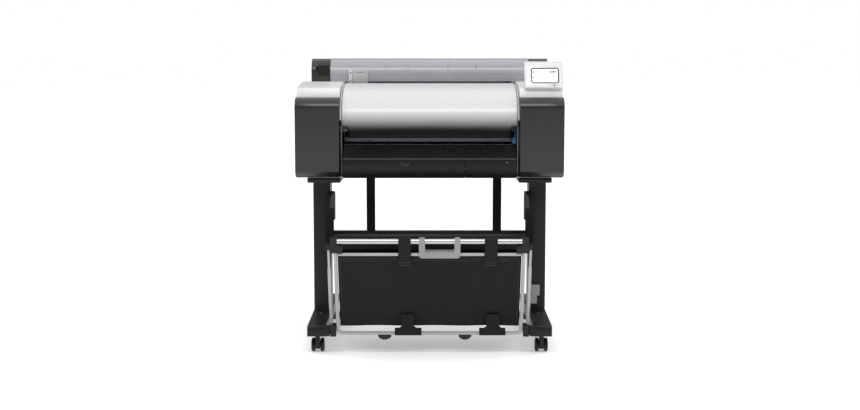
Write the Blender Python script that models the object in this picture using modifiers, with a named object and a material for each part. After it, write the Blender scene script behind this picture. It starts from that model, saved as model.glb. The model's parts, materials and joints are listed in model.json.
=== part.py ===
"""Large format roll plotter on a castored stand with a hinged fabric media basket.

Metres, +Z up, front towards -Y, +X to the right as seen from the front. The origin is
on the floor, under the centre of the whole machine's box with its basket open.
"""
import math

import bmesh
import bpy
from mathutils import Matrix, Vector

# ---------------------------------------------------------------- driving dimensions
BODY_WIDTH = 0.984          # across the two side housings
SIDE_WIDTH = 0.161          # one side housing, along X
SIDE_GAP = 0.009            # between the lid and a side housing
BODY_FRONT = -0.150         # front plane of the side housings
HOUSING_REAR = 0.2865       # rear plane of the side housings
BODY_REAR = 0.4434          # rear plane of the roll unit
ROLL_FRONT = 0.195          # front plane of the roll unit
SEAT_Z = 0.6202             # underside of the printer, on the stand
HOUSING_HEIGHT = 0.2912     # dark side housings
TOP_BAND = 0.034            # front band of the white side tops
TOP_RISE = 0.0195           # how far the white tops climb towards the rear
MACHINE_HEIGHT = 1.060      # top of the roll cover above the floor
WALL = 0.003                # moulded cover wall
TOUCH = 0.0003              # gap between solids that touch
PLAY = 0.0003               # radial play of a pin in its hole

LEG_X = 0.4048              # column and foot centre from the middle plane
COLUMN_WIDTH = 0.065
COLUMN_DEPTH = 0.100
COLUMN_Y = 0.010
COLUMN_TOP = 0.602
ARM_WEB = 0.0145             # side arm behind its thick front end
STEEL = 0.002               # tube wall
FOOT_WIDTH = 0.067
FOOT_FRONT = -0.3135
FOOT_REAR = 0.365
FOOT_BOTTOM = 0.066
FOOT_HEIGHT = 0.044
STAY_BOTTOM = 0.337
STAY_HEIGHT = 0.071
STAY_DEPTH = 0.060

WHEEL_RADIUS = 0.025
WHEEL_WIDTH = 0.013         # one disc of a twin wheel
CASTER_WIDTH = 0.046        # across both discs
CASTER_TRAIL = 0.018
CASTER_INSET = 0.0435       # stem from the end of the foot
STEM_RADIUS = 0.005
STEM_LENGTH = 0.030

BASKET_HINGE_Y = -0.3014
BASKET_HINGE_Z = 0.085
BASKET_LEAN = math.radians(20.5)    # the frame stands upright when it is closed
BASKET_TUBE_X = 0.328
BASKET_TUBE_RADIUS = 0.0065
TOP_ROD_V = 0.3642          # heights along the leaning frame, from its hinge
TOP_ROD_RADIUS = 0.0095
CROSS_ROD_V = 0.3129
CROSS_ROD_RADIUS = 0.0055
STRUT_X = 0.351
STRUT_RADIUS = 0.0045
STRUT_SLEEVE_RADIUS = 0.0062
CLOTH_THICKNESS = 0.005
CLOTH_CLEARANCE = 0.0024
HANDLE_X = 0.035            # the grip sits a little off the middle
HANDLE_WIDTH = 0.144
HANDLE_ARM = 0.021

PANEL_INSET = 0.073         # its middle from the right-hand side of the body
PANEL_WIDTH = 0.140
PANEL_HEIGHT = 0.106
PANEL_DEPTH = 0.018
PANEL_LEAN = math.radians(-25)
SCREEN_WIDTH = 0.101
SCREEN_HEIGHT = 0.060
BUTTON_RADIUS = 0.0042

ROLL_Y = 0.322
ROLL_Z = 0.985
ROLL_RADIUS = 0.048
ROLL_WIDTH = 0.610          # 24 inch media
SPINDLE_RADIUS = 0.0127
ROLL_END_WIDTH = 0.0718
ROLL_END_INSET = 0.1035     # inner face of a roll end from the side of the body

CARRIAGE_WIDTH = 0.085
CARRIAGE_PARK_INSET = 0.087 # parked carriage from the right-hand side
RAIL_Y = 0.045
RAIL_Z = 0.800
RAIL_RADIUS = 0.006
FEED_RADIUS = 0.012

# ---------------------------------------------------------------- derived sizes
HALF = BODY_WIDTH / 2
SIDE_INNER = HALF - SIDE_WIDTH
PANEL_X = HALF - PANEL_INSET
CARRIAGE_PARK_X = HALF - CARRIAGE_PARK_INSET
ROLL_END_INNER = HALF - ROLL_END_INSET
LID_HALF = SIDE_INNER - SIDE_GAP
TRAY_THICKNESS = 0.003
HOUSING_BOTTOM = SEAT_Z + TRAY_THICKNESS + TOUCH
HOUSING_TOP = HOUSING_BOTTOM + HOUSING_HEIGHT
PLATE_THICKNESS = 0.003
PLATE_INNER = SIDE_INNER - 0.0045
FOOT_TOP = FOOT_BOTTOM + FOOT_HEIGHT
COLUMN_INNER = LEG_X - COLUMN_WIDTH / 2
FOOT_INNER = LEG_X - FOOT_WIDTH / 2
LID_HINGE = (0.120, HOUSING_TOP + 0.0463)
ROLL_HINGE = (BODY_REAR - 0.0065, ROLL_Z - 0.047)
DOOR_HINGE = (-0.121, SEAT_Z - 0.0005)
DOOR_SPLIT_X = 0.131
DOOR_HALF = SIDE_INNER - 0.013
LEVER_PIVOT = (-0.045, 0.825)
PANEL_HINGE = (-0.0658, HOUSING_TOP + 0.0653)
CASTER_FRONT = FOOT_FRONT + CASTER_INSET
CASTER_REAR = FOOT_REAR - CASTER_INSET

# local axes of an outline, for a prism along X, Y or Z
ALONG = {
    "X": Matrix(((0, 0, 1), (1, 0, 0), (0, 1, 0))).to_4x4(),
    "Y": Matrix(((0, 1, 0), (0, 0, 1), (1, 0, 0))).to_4x4(),
    "Z": Matrix.Identity(4),
}

# colour, roughness, metallic
FINISHES = {
    "dark plastic": ((0.036, 0.036, 0.038), 0.45, 0.0),
    "black plastic": ((0.010, 0.010, 0.011), 0.45, 0.0),
    "white plastic": ((0.80, 0.80, 0.80), 0.40, 0.0),
    "grey plastic": ((0.30, 0.30, 0.30), 0.45, 0.0),
    "blue plastic": ((0.03, 0.08, 0.18), 0.40, 0.0),
    "smoked plastic": ((0.36, 0.34, 0.38), 0.12, 0.0),
    "powder coat": ((0.013, 0.013, 0.014), 0.50, 0.0),
    "grey steel": ((0.40, 0.40, 0.41), 0.35, 0.6),
    "bright steel": ((0.72, 0.72, 0.73), 0.22, 1.0),
    "zinc steel": ((0.50, 0.50, 0.51), 0.40, 1.0),
    "fabric": ((0.016, 0.016, 0.017), 0.90, 0.0),
    "rubber": ((0.020, 0.020, 0.020), 0.70, 0.0),
    "paper": ((0.82, 0.82, 0.80), 0.75, 0.0),
    "screen glass": ((0.30, 0.32, 0.34), 0.08, 0.0),
}


# ---------------------------------------------------------------- helpers
def start_clean():
    """Empty the scene and make the two collections."""
    for thing in list(bpy.data.objects):
        bpy.data.objects.remove(thing, do_unlink=True)
    for name in ("large_format_plotter", "cutters"):
        bpy.context.scene.collection.children.link(bpy.data.collections.new(name))


def add(name, mesh, kind, frame=None):
    """Put a mesh in the scene as a part, or as a cutter when it has no finish."""
    thing = bpy.data.objects.new(name, mesh)
    if frame is not None:
        thing.matrix_world = frame
    if kind is None:
        thing.display_type = "WIRE"
        thing.hide_render = True
        bpy.data.collections["cutters"].objects.link(thing)
        return thing
    colour, roughness, metallic = FINISHES[kind]
    material = bpy.data.materials.new(name)
    material.use_nodes = True
    shader = material.node_tree.nodes["Principled BSDF"]
    shader.inputs["Base Color"].default_value = (*colour, 1.0)
    shader.inputs["Roughness"].default_value = roughness
    shader.inputs["Metallic"].default_value = metallic
    thing.data.materials.append(material)
    bpy.data.collections["large_format_plotter"].objects.link(thing)
    return thing


def bevelled(thing, width, segments=2):
    """Round the hard edges of a solid."""
    bevel = thing.modifiers.new("edges", "BEVEL")
    bevel.width = width
    bevel.segments = segments
    bevel.limit_method = "ANGLE"
    bevel.angle_limit = math.radians(50)
    return thing


def box(name, low, high, kind, bevel=0.0, segments=2, frame=None):
    """An axis-aligned block between two corners."""
    low = Vector(low)
    high = Vector(high)
    mesh = bpy.data.meshes.new(name)
    form = bmesh.new()
    place = Matrix.Translation((low + high) / 2) @ Matrix.Diagonal((*(high - low), 1.0))
    bmesh.ops.create_cube(form, size=1.0, matrix=place)
    form.to_mesh(mesh)
    form.free()
    thing = add(name, mesh, kind, frame)
    if bevel:
        bevelled(thing, bevel, segments)
    return thing


def rod(name, start, end, radius, kind, sides=20, frame=None):
    """A plain round bar between two points."""
    start = Vector(start)
    end = Vector(end)
    mesh = bpy.data.meshes.new(name)
    form = bmesh.new()
    turn = (end - start).to_track_quat("Z", "Y").to_matrix().to_4x4()
    place = Matrix.Translation((start + end) / 2) @ turn
    bmesh.ops.create_cone(form, cap_ends=True, segments=sides, radius1=radius,
                          radius2=radius, depth=(end - start).length, matrix=place)
    form.to_mesh(mesh)
    form.free()
    mesh.shade_smooth()
    mesh.set_sharp_from_angle(angle=math.radians(40))
    return add(name, mesh, kind, frame)


def rounded(corners, steps=4):
    """Turn (a, b, radius) corners into an outline with arcs at the corners."""
    outline = []
    count = len(corners)
    for index, (a, b, radius) in enumerate(corners):
        corner = Vector((a, b))
        if radius == 0:
            outline.append(corner)
            continue
        before = (Vector(corners[index - 1][:2]) - corner).normalized()
        after = (Vector(corners[(index + 1) % count][:2]) - corner).normalized()
        half = before.angle(after) / 2
        centre = corner + (before + after).normalized() * (radius / math.sin(half))
        first = corner + before * (radius / math.tan(half)) - centre
        last = corner + after * (radius / math.tan(half)) - centre
        for step in range(steps + 1):
            blend = first.lerp(last, step / steps)
            outline.append(centre + blend.normalized() * radius)
    return outline


def arc(centre, radius, start, end, steps):
    """Points along an arc, angles in degrees."""
    angles = [math.radians(start + (end - start) * step / steps) for step in range(steps + 1)]
    return [(centre[0] + radius * math.cos(a), centre[1] + radius * math.sin(a)) for a in angles]


def weld(mesh):
    """Close the caps of a converted curve."""
    form = bmesh.new()
    form.from_mesh(mesh)
    bmesh.ops.remove_doubles(form, verts=form.verts, dist=0.00001)
    bmesh.ops.recalc_face_normals(form, faces=form.faces)
    form.to_mesh(mesh)
    form.free()


def from_curve(name, curve, kind, frame):
    """Turn a curve object into a closed mesh part."""
    guide = bpy.data.objects.new(name + "_curve", curve)
    bpy.context.scene.collection.objects.link(guide)
    bpy.context.view_layer.update()
    evaluated = guide.evaluated_get(bpy.context.evaluated_depsgraph_get())
    mesh = bpy.data.meshes.new_from_object(evaluated)
    bpy.data.objects.remove(guide, do_unlink=True)
    weld(mesh)
    mesh.shade_smooth()
    mesh.set_sharp_from_angle(angle=math.radians(35))
    return add(name, mesh, kind, frame)


def prism(name, outlines, low, high, kind, along="X", frame=None):
    """A flat outline, with any holes, drawn out between two stations on an axis."""
    curve = bpy.data.curves.new(name, "CURVE")
    curve.dimensions = "2D"
    curve.fill_mode = "BOTH"
    curve.extrude = abs(high - low) / 2
    for outline in outlines:
        spline = curve.splines.new("POLY")
        spline.points.add(len(outline) - 1)
        for point, place in zip(spline.points, outline):
            point.co = (place[0], place[1], 0, 1)
        spline.use_cyclic_u = True
    middle = {"X": (1, 0, 0), "Y": (0, 1, 0), "Z": (0, 0, 1)}[along]
    shift = Matrix.Translation(Vector(middle) * (low + high) / 2)
    base = Matrix.Identity(4) if frame is None else frame
    return from_curve(name, curve, kind, base @ shift @ ALONG[along])


def pipe(name, points, radius, kind, frame=None, sides=5):
    """A round tube along a path of points."""
    curve = bpy.data.curves.new(name, "CURVE")
    curve.dimensions = "3D"
    curve.bevel_depth = radius
    curve.bevel_resolution = sides
    curve.use_fill_caps = True
    spline = curve.splines.new("POLY")
    spline.points.add(len(points) - 1)
    for point, place in zip(spline.points, points):
        point.co = (*place, 1)
    return from_curve(name, curve, kind, frame)


def sheet(name, path, low, high, thickness, kind, frame=None):
    """A bent sheet: its outer path in Y and Z, drawn out along X, with the wall inside it."""
    mesh = bpy.data.meshes.new(name)
    form = bmesh.new()
    rows = [[form.verts.new((x, y, z)) for y, z in path] for x in (low, high)]
    for left, right in zip(range(len(path) - 1), range(1, len(path))):
        form.faces.new((rows[0][left], rows[0][right], rows[1][right], rows[1][left]))
    form.to_mesh(mesh)
    form.free()
    thing = add(name, mesh, kind, frame)
    wall = thing.modifiers.new("wall", "SOLIDIFY")
    wall.thickness = thickness
    wall.offset = -1.0
    wall.use_even_offset = True
    return thing


def turned(name, profile, kind, frame, steps=24, closed=False):
    """A turned solid: (radius, height) points down its outer side, about the frame's Z."""
    mesh = bpy.data.meshes.new(name)
    points = [(radius, 0, height) for radius, height in profile]
    edges = [(i, i + 1) for i in range(len(points) - 1)]
    if closed:
        edges.append((len(points) - 1, 0))
    mesh.from_pydata(points, edges, [])
    thing = add(name, mesh, kind, frame)
    screw = thing.modifiers.new("turn", "SCREW")
    screw.steps = steps
    screw.render_steps = steps
    screw.use_merge_vertices = True
    screw.merge_threshold = 0.00001
    screw.use_smooth_shade = True
    return thing


def combine(thing, tool, operation):
    """Cut or join with a second solid, which becomes a hidden tool."""
    step = thing.modifiers.new(tool.name, "BOOLEAN")
    step.operation = operation
    step.solver = "EXACT"
    step.object = tool
    return thing


def cut(thing, *tools):
    for tool in tools:
        combine(thing, tool, "DIFFERENCE")
    return thing


def fuse(thing, *tools):
    for tool in tools:
        combine(thing, tool, "UNION")
    return thing


def pivot(name, location, turn=0.0):
    """An empty on a joint axis that carries its moving pieces."""
    empty = bpy.data.objects.new(name, None)
    empty.matrix_world = Matrix.Translation(location) @ Matrix.Rotation(turn, 4, "X")
    bpy.data.collections["large_format_plotter"].objects.link(empty)
    return empty


def carry(empty, *things):
    """Parent pieces to a pivot without moving them."""
    for thing in things:
        thing.parent = empty
        thing.matrix_parent_inverse = empty.matrix_world.inverted()


def facing(axis):
    """The frame that turns Z onto a world axis."""
    return Vector(axis).to_track_quat("Z", "Y").to_matrix().to_4x4()


def span(side, near, far):
    """The low and high X of a band at one side of the middle plane."""
    return (near, far) if side > 0 else (-far, -near)


# ---------------------------------------------------------------- stand
def make_foot(side, word):
    """A hollow foot with caster sockets at its ends and the basket's hinge boss."""
    front_of_column = COLUMN_Y - COLUMN_DEPTH / 2 - 0.02
    behind_column = COLUMN_Y + COLUMN_DEPTH / 2 + 0.02
    tip_drop = 0.006
    outline = rounded([
        (FOOT_FRONT, FOOT_BOTTOM, 0.004),
        (FOOT_FRONT, FOOT_TOP - tip_drop, 0.016),
        (front_of_column, FOOT_TOP, 0),
        (behind_column, FOOT_TOP, 0),
        (FOOT_REAR, FOOT_TOP - tip_drop, 0.016),
        (FOOT_REAR, FOOT_BOTTOM, 0.004),
    ])
    low, high = span(side, FOOT_INNER, FOOT_INNER + FOOT_WIDTH)
    foot = bevelled(prism(word + "_foot", [outline], low, high, "powder coat"), 0.003)
    boss_low, boss_high = span(side, STRUT_X + STRUT_SLEEVE_RADIUS + 0.0005, FOOT_INNER + 0.002)
    reach = 0.018
    boss = box(word + "_boss", (boss_low, BASKET_HINGE_Y - reach + 0.006, FOOT_BOTTOM + 0.001),
               (boss_high, BASKET_HINGE_Y + reach, BASKET_HINGE_Z + reach), None, 0.003)
    wall = 0.003
    block = 0.028
    cavity = box(word + "_foot_cavity", (low + wall, CASTER_FRONT + block, FOOT_BOTTOM - 0.01),
                 (high - wall, CASTER_REAR - block, FOOT_TOP - 0.010), None)
    fuse(foot, boss)
    cut(foot, cavity)
    for place, y in (("front", CASTER_FRONT), ("rear", CASTER_REAR)):
        socket = rod(f"{word}_{place}_socket", (side * LEG_X, y, FOOT_BOTTOM - 0.01),
                     (side * LEG_X, y, FOOT_BOTTOM + STEM_LENGTH), STEM_RADIUS + PLAY, None)
        cut(foot, socket)
    bore = rod(word + "_hinge_bore", (side * (boss_near(side) - 0.005), BASKET_HINGE_Y, BASKET_HINGE_Z),
               (side * PIN_BORE_END, BASKET_HINGE_Y, BASKET_HINGE_Z), PIN_RADIUS + PLAY, None)
    cut(foot, bore)


def boss_near(side):
    """Distance of the boss's inner face from the middle plane."""
    low, high = span(side, STRUT_X + STRUT_SLEEVE_RADIUS + 0.0005, FOOT_INNER)
    return min(abs(low), abs(high))


def make_leg(side, word):
    """Column tube with the printer's seat welded on, and the arm the closed basket meets."""
    radius = 0.008
    half_x = COLUMN_WIDTH / 2
    half_y = COLUMN_DEPTH / 2
    outlines = []
    for inset in (0.0, STEEL):
        x0, x1 = side * LEG_X - half_x + inset, side * LEG_X + half_x - inset
        y0, y1 = COLUMN_Y - half_y + inset, COLUMN_Y + half_y - inset
        r = radius - inset
        outlines.append(rounded([(x0, y0, r), (x1, y0, r), (x1, y1, r), (x0, y1, r)]))
    column = prism(word + "_column", outlines, FOOT_TOP + TOUCH, COLUMN_TOP, "powder coat", "Z")
    low, high = span(side, LEG_X - 0.076, LEG_X + 0.046)
    seat = box(word + "_column_seat", (low, -0.120, COLUMN_TOP - 0.0005), (high, 0.240, SEAT_Z - TOUCH),
               None, 0.003)
    fuse(column, seat)

    closed_back = BASKET_HINGE_Y + 0.022
    arm = rounded([
        (COLUMN_Y + 0.010, 0.450, 0.010),
        (COLUMN_Y + 0.010, 0.560, 0.020),
        (closed_back + 0.060, 0.560, 0.050),
        (closed_back, 0.512, 0.060),
        (closed_back, 0.3986, 0.012),
        (closed_back + 0.042, 0.3986, 0.012),
        (closed_back + 0.060, 0.470, 0.030),
    ])
    low, high = span(side, COLUMN_INNER - 0.0298, COLUMN_INNER - TOUCH)
    guard = bevelled(prism(word + "_side_arm", [arm], low, high, "black plastic"), 0.004)
    low, high = span(side, COLUMN_INNER - 0.040, COLUMN_INNER - ARM_WEB)
    relief = box(word + "_arm_relief", (low, closed_back + 0.016, 0.380),
                 (high, COLUMN_Y + 0.030, 0.600), None)
    cut(guard, relief)


def make_stay():
    """The hollow cross stay between the columns."""
    outlines = []
    top = STAY_BOTTOM + STAY_HEIGHT
    for inset in (0.0, STEEL):
        y0, y1 = -0.020 + inset, -0.020 + STAY_DEPTH - inset
        z0, z1 = STAY_BOTTOM + inset, top - inset
        outlines.append(rounded([(y0, z0, 0.006 - inset), (y0, z1, 0.026 - inset),
                                 (y1, z1, 0.020 - inset), (y1, z0, 0.006 - inset)]))
    reach = COLUMN_INNER - TOUCH
    prism("cross_stay", outlines, -reach, reach, "powder coat")


def make_clip():
    """The grey cable clip on the front of the right column."""
    left = LEG_X - 0.021
    outline = rounded([
        (0.139, left - 0.002, 0.002), (0.170, left - 0.002, 0), (0.170, left, 0),
        (0.209, left, 0.003), (0.209, left + 0.031, 0.003), (0.170, left + 0.031, 0.003),
        (0.170, left + 0.021, 0), (0.139, left + 0.021, 0.003),
    ], 2)
    front = COLUMN_Y - COLUMN_DEPTH / 2 - TOUCH
    prism("cable_clip", [outline], front - 0.018, front, "grey plastic", "Y")


def make_caster(side, word, place, y):
    """A twin-wheel caster: a swivelling yoke and one turned wheel pair on its axle."""
    name = f"{place}_{word}_caster"
    x = side * LEG_X
    swivel = pivot(name + "_swivel_axis", (x, y, FOOT_BOTTOM))
    axle_y = y + CASTER_TRAIL
    centre = Vector((x, axle_y, WHEEL_RADIUS))
    spin = pivot(name + "_axle_axis", centre)
    half_web = CASTER_WIDTH / 2 - WHEEL_WIDTH - 0.0025
    top = FOOT_BOTTOM - 0.002
    outline = rounded([
        (y - 0.011, top, 0), (y + 0.014, top, 0.004),
        (axle_y + 0.019, WHEEL_RADIUS + 0.012, 0.012), (axle_y + 0.013, WHEEL_RADIUS - 0.015, 0.010),
        (axle_y - 0.013, WHEEL_RADIUS - 0.015, 0.010), (y - 0.011, WHEEL_RADIUS + 0.018, 0.008),
    ], 3)
    yoke = prism(name + "_yoke", [outline], x - half_web, x + half_web, "black plastic")
    flange = rod(name + "_flange", (x, y, FOOT_BOTTOM - 0.006), (x, y, FOOT_BOTTOM - 0.0008),
                 0.013, None)
    stem = rod(name + "_stem", (x, y, FOOT_BOTTOM - 0.003),
               (x, y, FOOT_BOTTOM + STEM_LENGTH - 0.001), STEM_RADIUS, None)
    axle = 0.004
    hole = rod(name + "_axle_hole", centre - Vector((0.02, 0, 0)), centre + Vector((0.02, 0, 0)),
               axle + PLAY, None)
    fuse(yoke, flange, stem)
    cut(yoke, hole)
    out = CASTER_WIDTH / 2
    face = out - WHEEL_WIDTH
    r = WHEEL_RADIUS
    half_profile = [(0, out - 0.002), (0.008, out - 0.002), (0.010, out), (r - 0.004, out),
                    (r, out - 0.003), (r, face + 0.003), (r - 0.003, face), (axle, face)]
    profile = half_profile + [(radius, -height) for radius, height in reversed(half_profile)]
    frame = Matrix.Translation(centre) @ facing((1, 0, 0))
    wheels = turned(name + "_wheels", profile, "black plastic", frame, steps=20)
    carry(swivel, yoke, flange, stem, hole)
    carry(spin, wheels)
    carry(swivel, spin)


# ---------------------------------------------------------------- media basket
PIN_RADIUS = 0.005
PIN_BORE_END = FOOT_INNER + 0.0075
BLOCK_INNER = BASKET_TUBE_X + BASKET_TUBE_RADIUS + TOUCH
BLOCK_OUTER = STRUT_X + 0.0055
TUBE_TOP_V = 0.3315
TUBE_BOTTOM_V = -0.0094


def make_basket():
    """The leaning frame, built upright in the hinge's own axes: x, depth u, height v."""
    hinge = pivot("basket_hinge", (0, BASKET_HINGE_Y, BASKET_HINGE_Z), BASKET_LEAN)
    x = BASKET_TUBE_X
    bend = 0.018
    path = rounded([(-x, TUBE_TOP_V, 0), (-x, TUBE_BOTTOM_V, bend),
                    (x, TUBE_BOTTOM_V, bend), (x, TUBE_TOP_V, 0)], 5)
    pieces = [pipe("basket_tube", [(a, 0, b) for a, b in path], BASKET_TUBE_RADIUS,
                   "grey steel", sides=3)]
    socket_x = x + 0.003
    pieces.append(rod("basket_top_rod", (-socket_x, 0, TOP_ROD_V), (socket_x, 0, TOP_ROD_V),
                      TOP_ROD_RADIUS, "bright steel"))
    reach = x - BASKET_TUBE_RADIUS - TOUCH
    pieces.append(rod("basket_cross_rod", (-reach, 0, CROSS_ROD_V), (reach, 0, CROSS_ROD_V),
                      CROSS_ROD_RADIUS, "grey steel"))
    for side, word in ((-1, "left"), (1, "right")):
        pieces += make_corner_block(side, word, socket_x)
        pieces += make_strut(side, word)
        pieces += make_pivot_block(side, word)
    pieces += make_handle()
    pieces.append(make_front_cloth())
    for piece in pieces:
        piece.parent = hinge


def make_corner_block(side, word, socket_x):
    """Joins the side tube, the top rod and the side strut."""
    deep = 0.011
    top = TOP_ROD_V + 0.0135
    low, high = span(side, BASKET_TUBE_X - 0.026, BASKET_TUBE_X + 0.015)
    base = CROSS_ROD_V + CROSS_ROD_RADIUS + 0.0036
    block = box(word + "_corner_block", (low, -deep, base), (high, deep, base + 0.028),
                "black plastic", 0.002)
    low, high = span(side, BASKET_TUBE_X - 0.0075, BASKET_TUBE_X + 0.015)
    upper = box(word + "_corner_upper", (low, -deep, base + 0.020), (high, deep, top), None, 0.002)
    low, high = span(side, BASKET_TUBE_X + 0.010, STRUT_X + 0.0065)
    lug = box(word + "_corner_lug", (low, -0.008, base + 0.011), (high, 0.008, base + 0.027),
              None, 0.001)
    tube_bore = rod(word + "_tube_bore", (side * BASKET_TUBE_X, 0, base - 0.01),
                    (side * BASKET_TUBE_X, 0, TUBE_TOP_V + TOUCH), BASKET_TUBE_RADIUS + TOUCH, None)
    rod_bore = rod(word + "_rod_bore", (side * (BASKET_TUBE_X - 0.02), 0, TOP_ROD_V),
                   (side * (socket_x + TOUCH), 0, TOP_ROD_V), TOP_ROD_RADIUS + TOUCH, None)
    strut_bore = rod(word + "_strut_bore", (side * STRUT_X, 0, base),
                     (side * STRUT_X, 0, strut_top() + TOUCH), STRUT_RADIUS + TOUCH, None)
    fuse(block, upper, lug)
    cut(block, tube_bore, rod_bore, strut_bore)
    return [block, upper, lug, tube_bore, rod_bore, strut_bore]


def strut_top():
    """Upper end of the side strut, inside the corner block's lug."""
    return CROSS_ROD_V + CROSS_ROD_RADIUS + 0.0236


def make_strut(side, word):
    """A rod that comes out of a thicker sleeve, beside the side tube."""
    thin, thick = STRUT_RADIUS, STRUT_SLEEVE_RADIUS
    top = strut_top()
    profile = [(0, top), (thin, top), (thin, 0.262), (thick, 0.259), (thick, 0.031),
               (thin, 0.030), (thin, 0.012), (0, 0.012)]
    frame = Matrix.Translation((side * STRUT_X, 0, 0))
    return [turned(word + "_side_strut", profile, "grey steel", frame, steps=16)]


def make_pivot_block(side, word):
    """Foot of the basket frame: holds the strut and carries the hinge pin."""
    low, high = span(side, BLOCK_INNER, BLOCK_OUTER)
    block = box(word + "_pivot_block", (low, -0.013, -0.018), (high, 0.013, 0.028),
                "black plastic", 0.003)
    pin = rod(word + "_hinge_pin", (side * (BLOCK_OUTER - 0.003), 0, 0),
              (side * (PIN_BORE_END - 0.001), 0, 0), PIN_RADIUS, None)
    bore = rod(word + "_strut_socket", (side * STRUT_X, 0, 0.012 - TOUCH), (side * STRUT_X, 0, 0.04),
               STRUT_RADIUS + TOUCH, None)
    fuse(block, pin)
    cut(block, bore)
    return [block, pin, bore]


def make_handle():
    """The grip that clamps both cross rods, with a finger gap below the top rod."""
    left = HANDLE_X - HANDLE_WIDTH / 2
    right = HANDLE_X + HANDLE_WIDTH / 2
    bottom = CROSS_ROD_V - CROSS_ROD_RADIUS - 0.004
    top = TOP_ROD_V + TOP_ROD_RADIUS + 0.0006
    front = -TOP_ROD_RADIUS - 0.0022
    back = TOP_ROD_RADIUS + 0.003
    bar = 0.022
    outline = rounded([
        (bottom, left, 0.012), (bottom, right, 0.012), (top, right, 0.004),
        (top, right - HANDLE_ARM, 0.004), (bottom + bar, right - HANDLE_ARM, 0.007),
        (bottom + bar, left + HANDLE_ARM, 0.007), (top, left + HANDLE_ARM, 0.004), (top, left, 0.004),
    ])
    grip = bevelled(prism("basket_handle", [outline], front, back, "grey plastic", "Y"), 0.003)
    tools = []
    for word, v, radius in (("upper", TOP_ROD_V, TOP_ROD_RADIUS), ("lower", CROSS_ROD_V, CROSS_ROD_RADIUS)):
        tools.append(rod(word + "_grip_bore", (left - 0.01, 0, v), (right + 0.01, 0, v),
                         radius + TOUCH, None))
    cut(grip, *tools)
    return [grip] + tools


def make_front_cloth():
    """Front panel of the pouch, between the side tubes."""
    reach = BASKET_TUBE_X - BASKET_TUBE_RADIUS - CLOTH_CLEARANCE
    top = CROSS_ROD_V - CROSS_ROD_RADIUS - 0.007
    bottom = TUBE_BOTTOM_V + BASKET_TUBE_RADIUS + 0.0155
    path = [(0.000, top), (0.004, top - 0.10), (0.010, top - 0.20), (0.014, bottom + 0.025),
            (0.011, bottom)]
    return sheet("basket_cloth_front", path, -reach, reach, CLOTH_THICKNESS, "fabric")


def make_rear_cloth():
    """Rear panel of the pouch, which rises behind the stay to two straps."""
    reach = BASKET_TUBE_X - BASKET_TUBE_RADIUS - CLOTH_CLEARANCE
    behind_stay = -0.020 + STAY_DEPTH + 0.012
    top = STAY_BOTTOM + 0.023
    path = [(BASKET_HINGE_Y + 0.038, 0.100), (-0.200, 0.097), (-0.100, 0.140), (-0.030, 0.220),
            (behind_stay - 0.016, STAY_BOTTOM - 0.037), (behind_stay, STAY_BOTTOM + 0.008),
            (behind_stay, top)]
    cloth = sheet("basket_cloth_rear", path, -reach, reach, CLOTH_THICKNESS, "fabric")
    for word, x in (("left", -0.2245), ("right", 0.2575)):
        strap = box(word + "_strap", (x - 0.0165, behind_stay - 0.0045, top - 0.006),
                    (x + 0.0165, behind_stay - 0.0005, SEAT_Z - TOUCH), None)
        fuse(cloth, strap)


# ---------------------------------------------------------------- printer body
def side_outline(inset):
    """Side housing section in Y and Z, moved inwards by a wall."""
    front = BODY_FRONT + inset
    rear = HOUSING_REAR - inset
    bottom = HOUSING_BOTTOM + inset
    top = HOUSING_TOP - inset
    return rounded([(front + 0.018, bottom, 0), (front, bottom + 0.0205, 0.004),
                    (front, top, 0.040 - inset), (rear, top, 0.010 - inset),
                    (rear, bottom, 0.006)], 6)


def make_side(side, word):
    """Dark side housing shell, open inwards, and its white lid."""
    low, high = span(side, SIDE_INNER, HALF)
    cover = bevelled(prism(word + "_side_cover", [side_outline(0)], low, high, "dark plastic"), 0.004)
    low, high = span(side, SIDE_INNER + WALL, HALF - WALL)
    cavity = prism(word + "_side_cavity", [side_outline(WALL)], low, high, None)
    low, high = span(side, SIDE_INNER - 0.01, SIDE_INNER + 0.02)
    doorway = box(word + "_side_doorway", (low, -0.052, HOUSING_BOTTOM + 0.010),
                  (high, HOUSING_REAR - 0.020, HOUSING_TOP - 0.020), None)
    cut(cover, cavity, doorway)

    base = HOUSING_TOP + 0.0005
    band = base + TOP_BAND
    peak = band + TOP_RISE
    front = BODY_FRONT + 0.050
    rear = ROLL_FRONT - 0.0008
    low, high = span(side, SIDE_INNER + 0.0005, HALF - 0.002)
    outline = rounded([(front, base, 0), (front + 0.012, band, 0.006), (0.120, peak, 0),
                       (rear, peak + 0.0013, 0.002), (rear, base, 0)])
    top = bevelled(prism(word + "_side_top", [outline], low, high, "white plastic"), 0.002)
    low, high = span(side, SIDE_INNER + 0.0005 + WALL, HALF - 0.002 - WALL)
    hollow = rounded([(front + 0.004, base - 0.01, 0), (front + 0.0155, band - WALL, 0.003),
                      (0.120, peak - WALL, 0), (rear - WALL, peak - WALL, 0),
                      (rear - WALL, base - 0.01, 0)])
    room = prism(word + "_top_room", [hollow], low, high, None)
    if side > 0:
        add_panel_lugs(top)
    cut(top, room)


def add_panel_lugs(top):
    """Two hinge lugs that stand on the right white lid and hold the control panel."""
    y, z = PANEL_HINGE
    for word, x in (("near", PANEL_X - 0.032), ("far", PANEL_X + 0.032)):
        lug = box(word + "_lug", (x - 0.004, y - 0.0055, z - 0.040), (x + 0.004, y + 0.0055, z + 0.0055),
                  None, 0.002)
        fuse(top, lug)
    for word, x in (("near", PANEL_X - 0.032), ("far", PANEL_X + 0.032)):
        eye = rod(word + "_lug_eye", (x - 0.01, y, z), (x + 0.01, y, z), 0.003 + PLAY, None)
        cut(top, eye)


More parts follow.
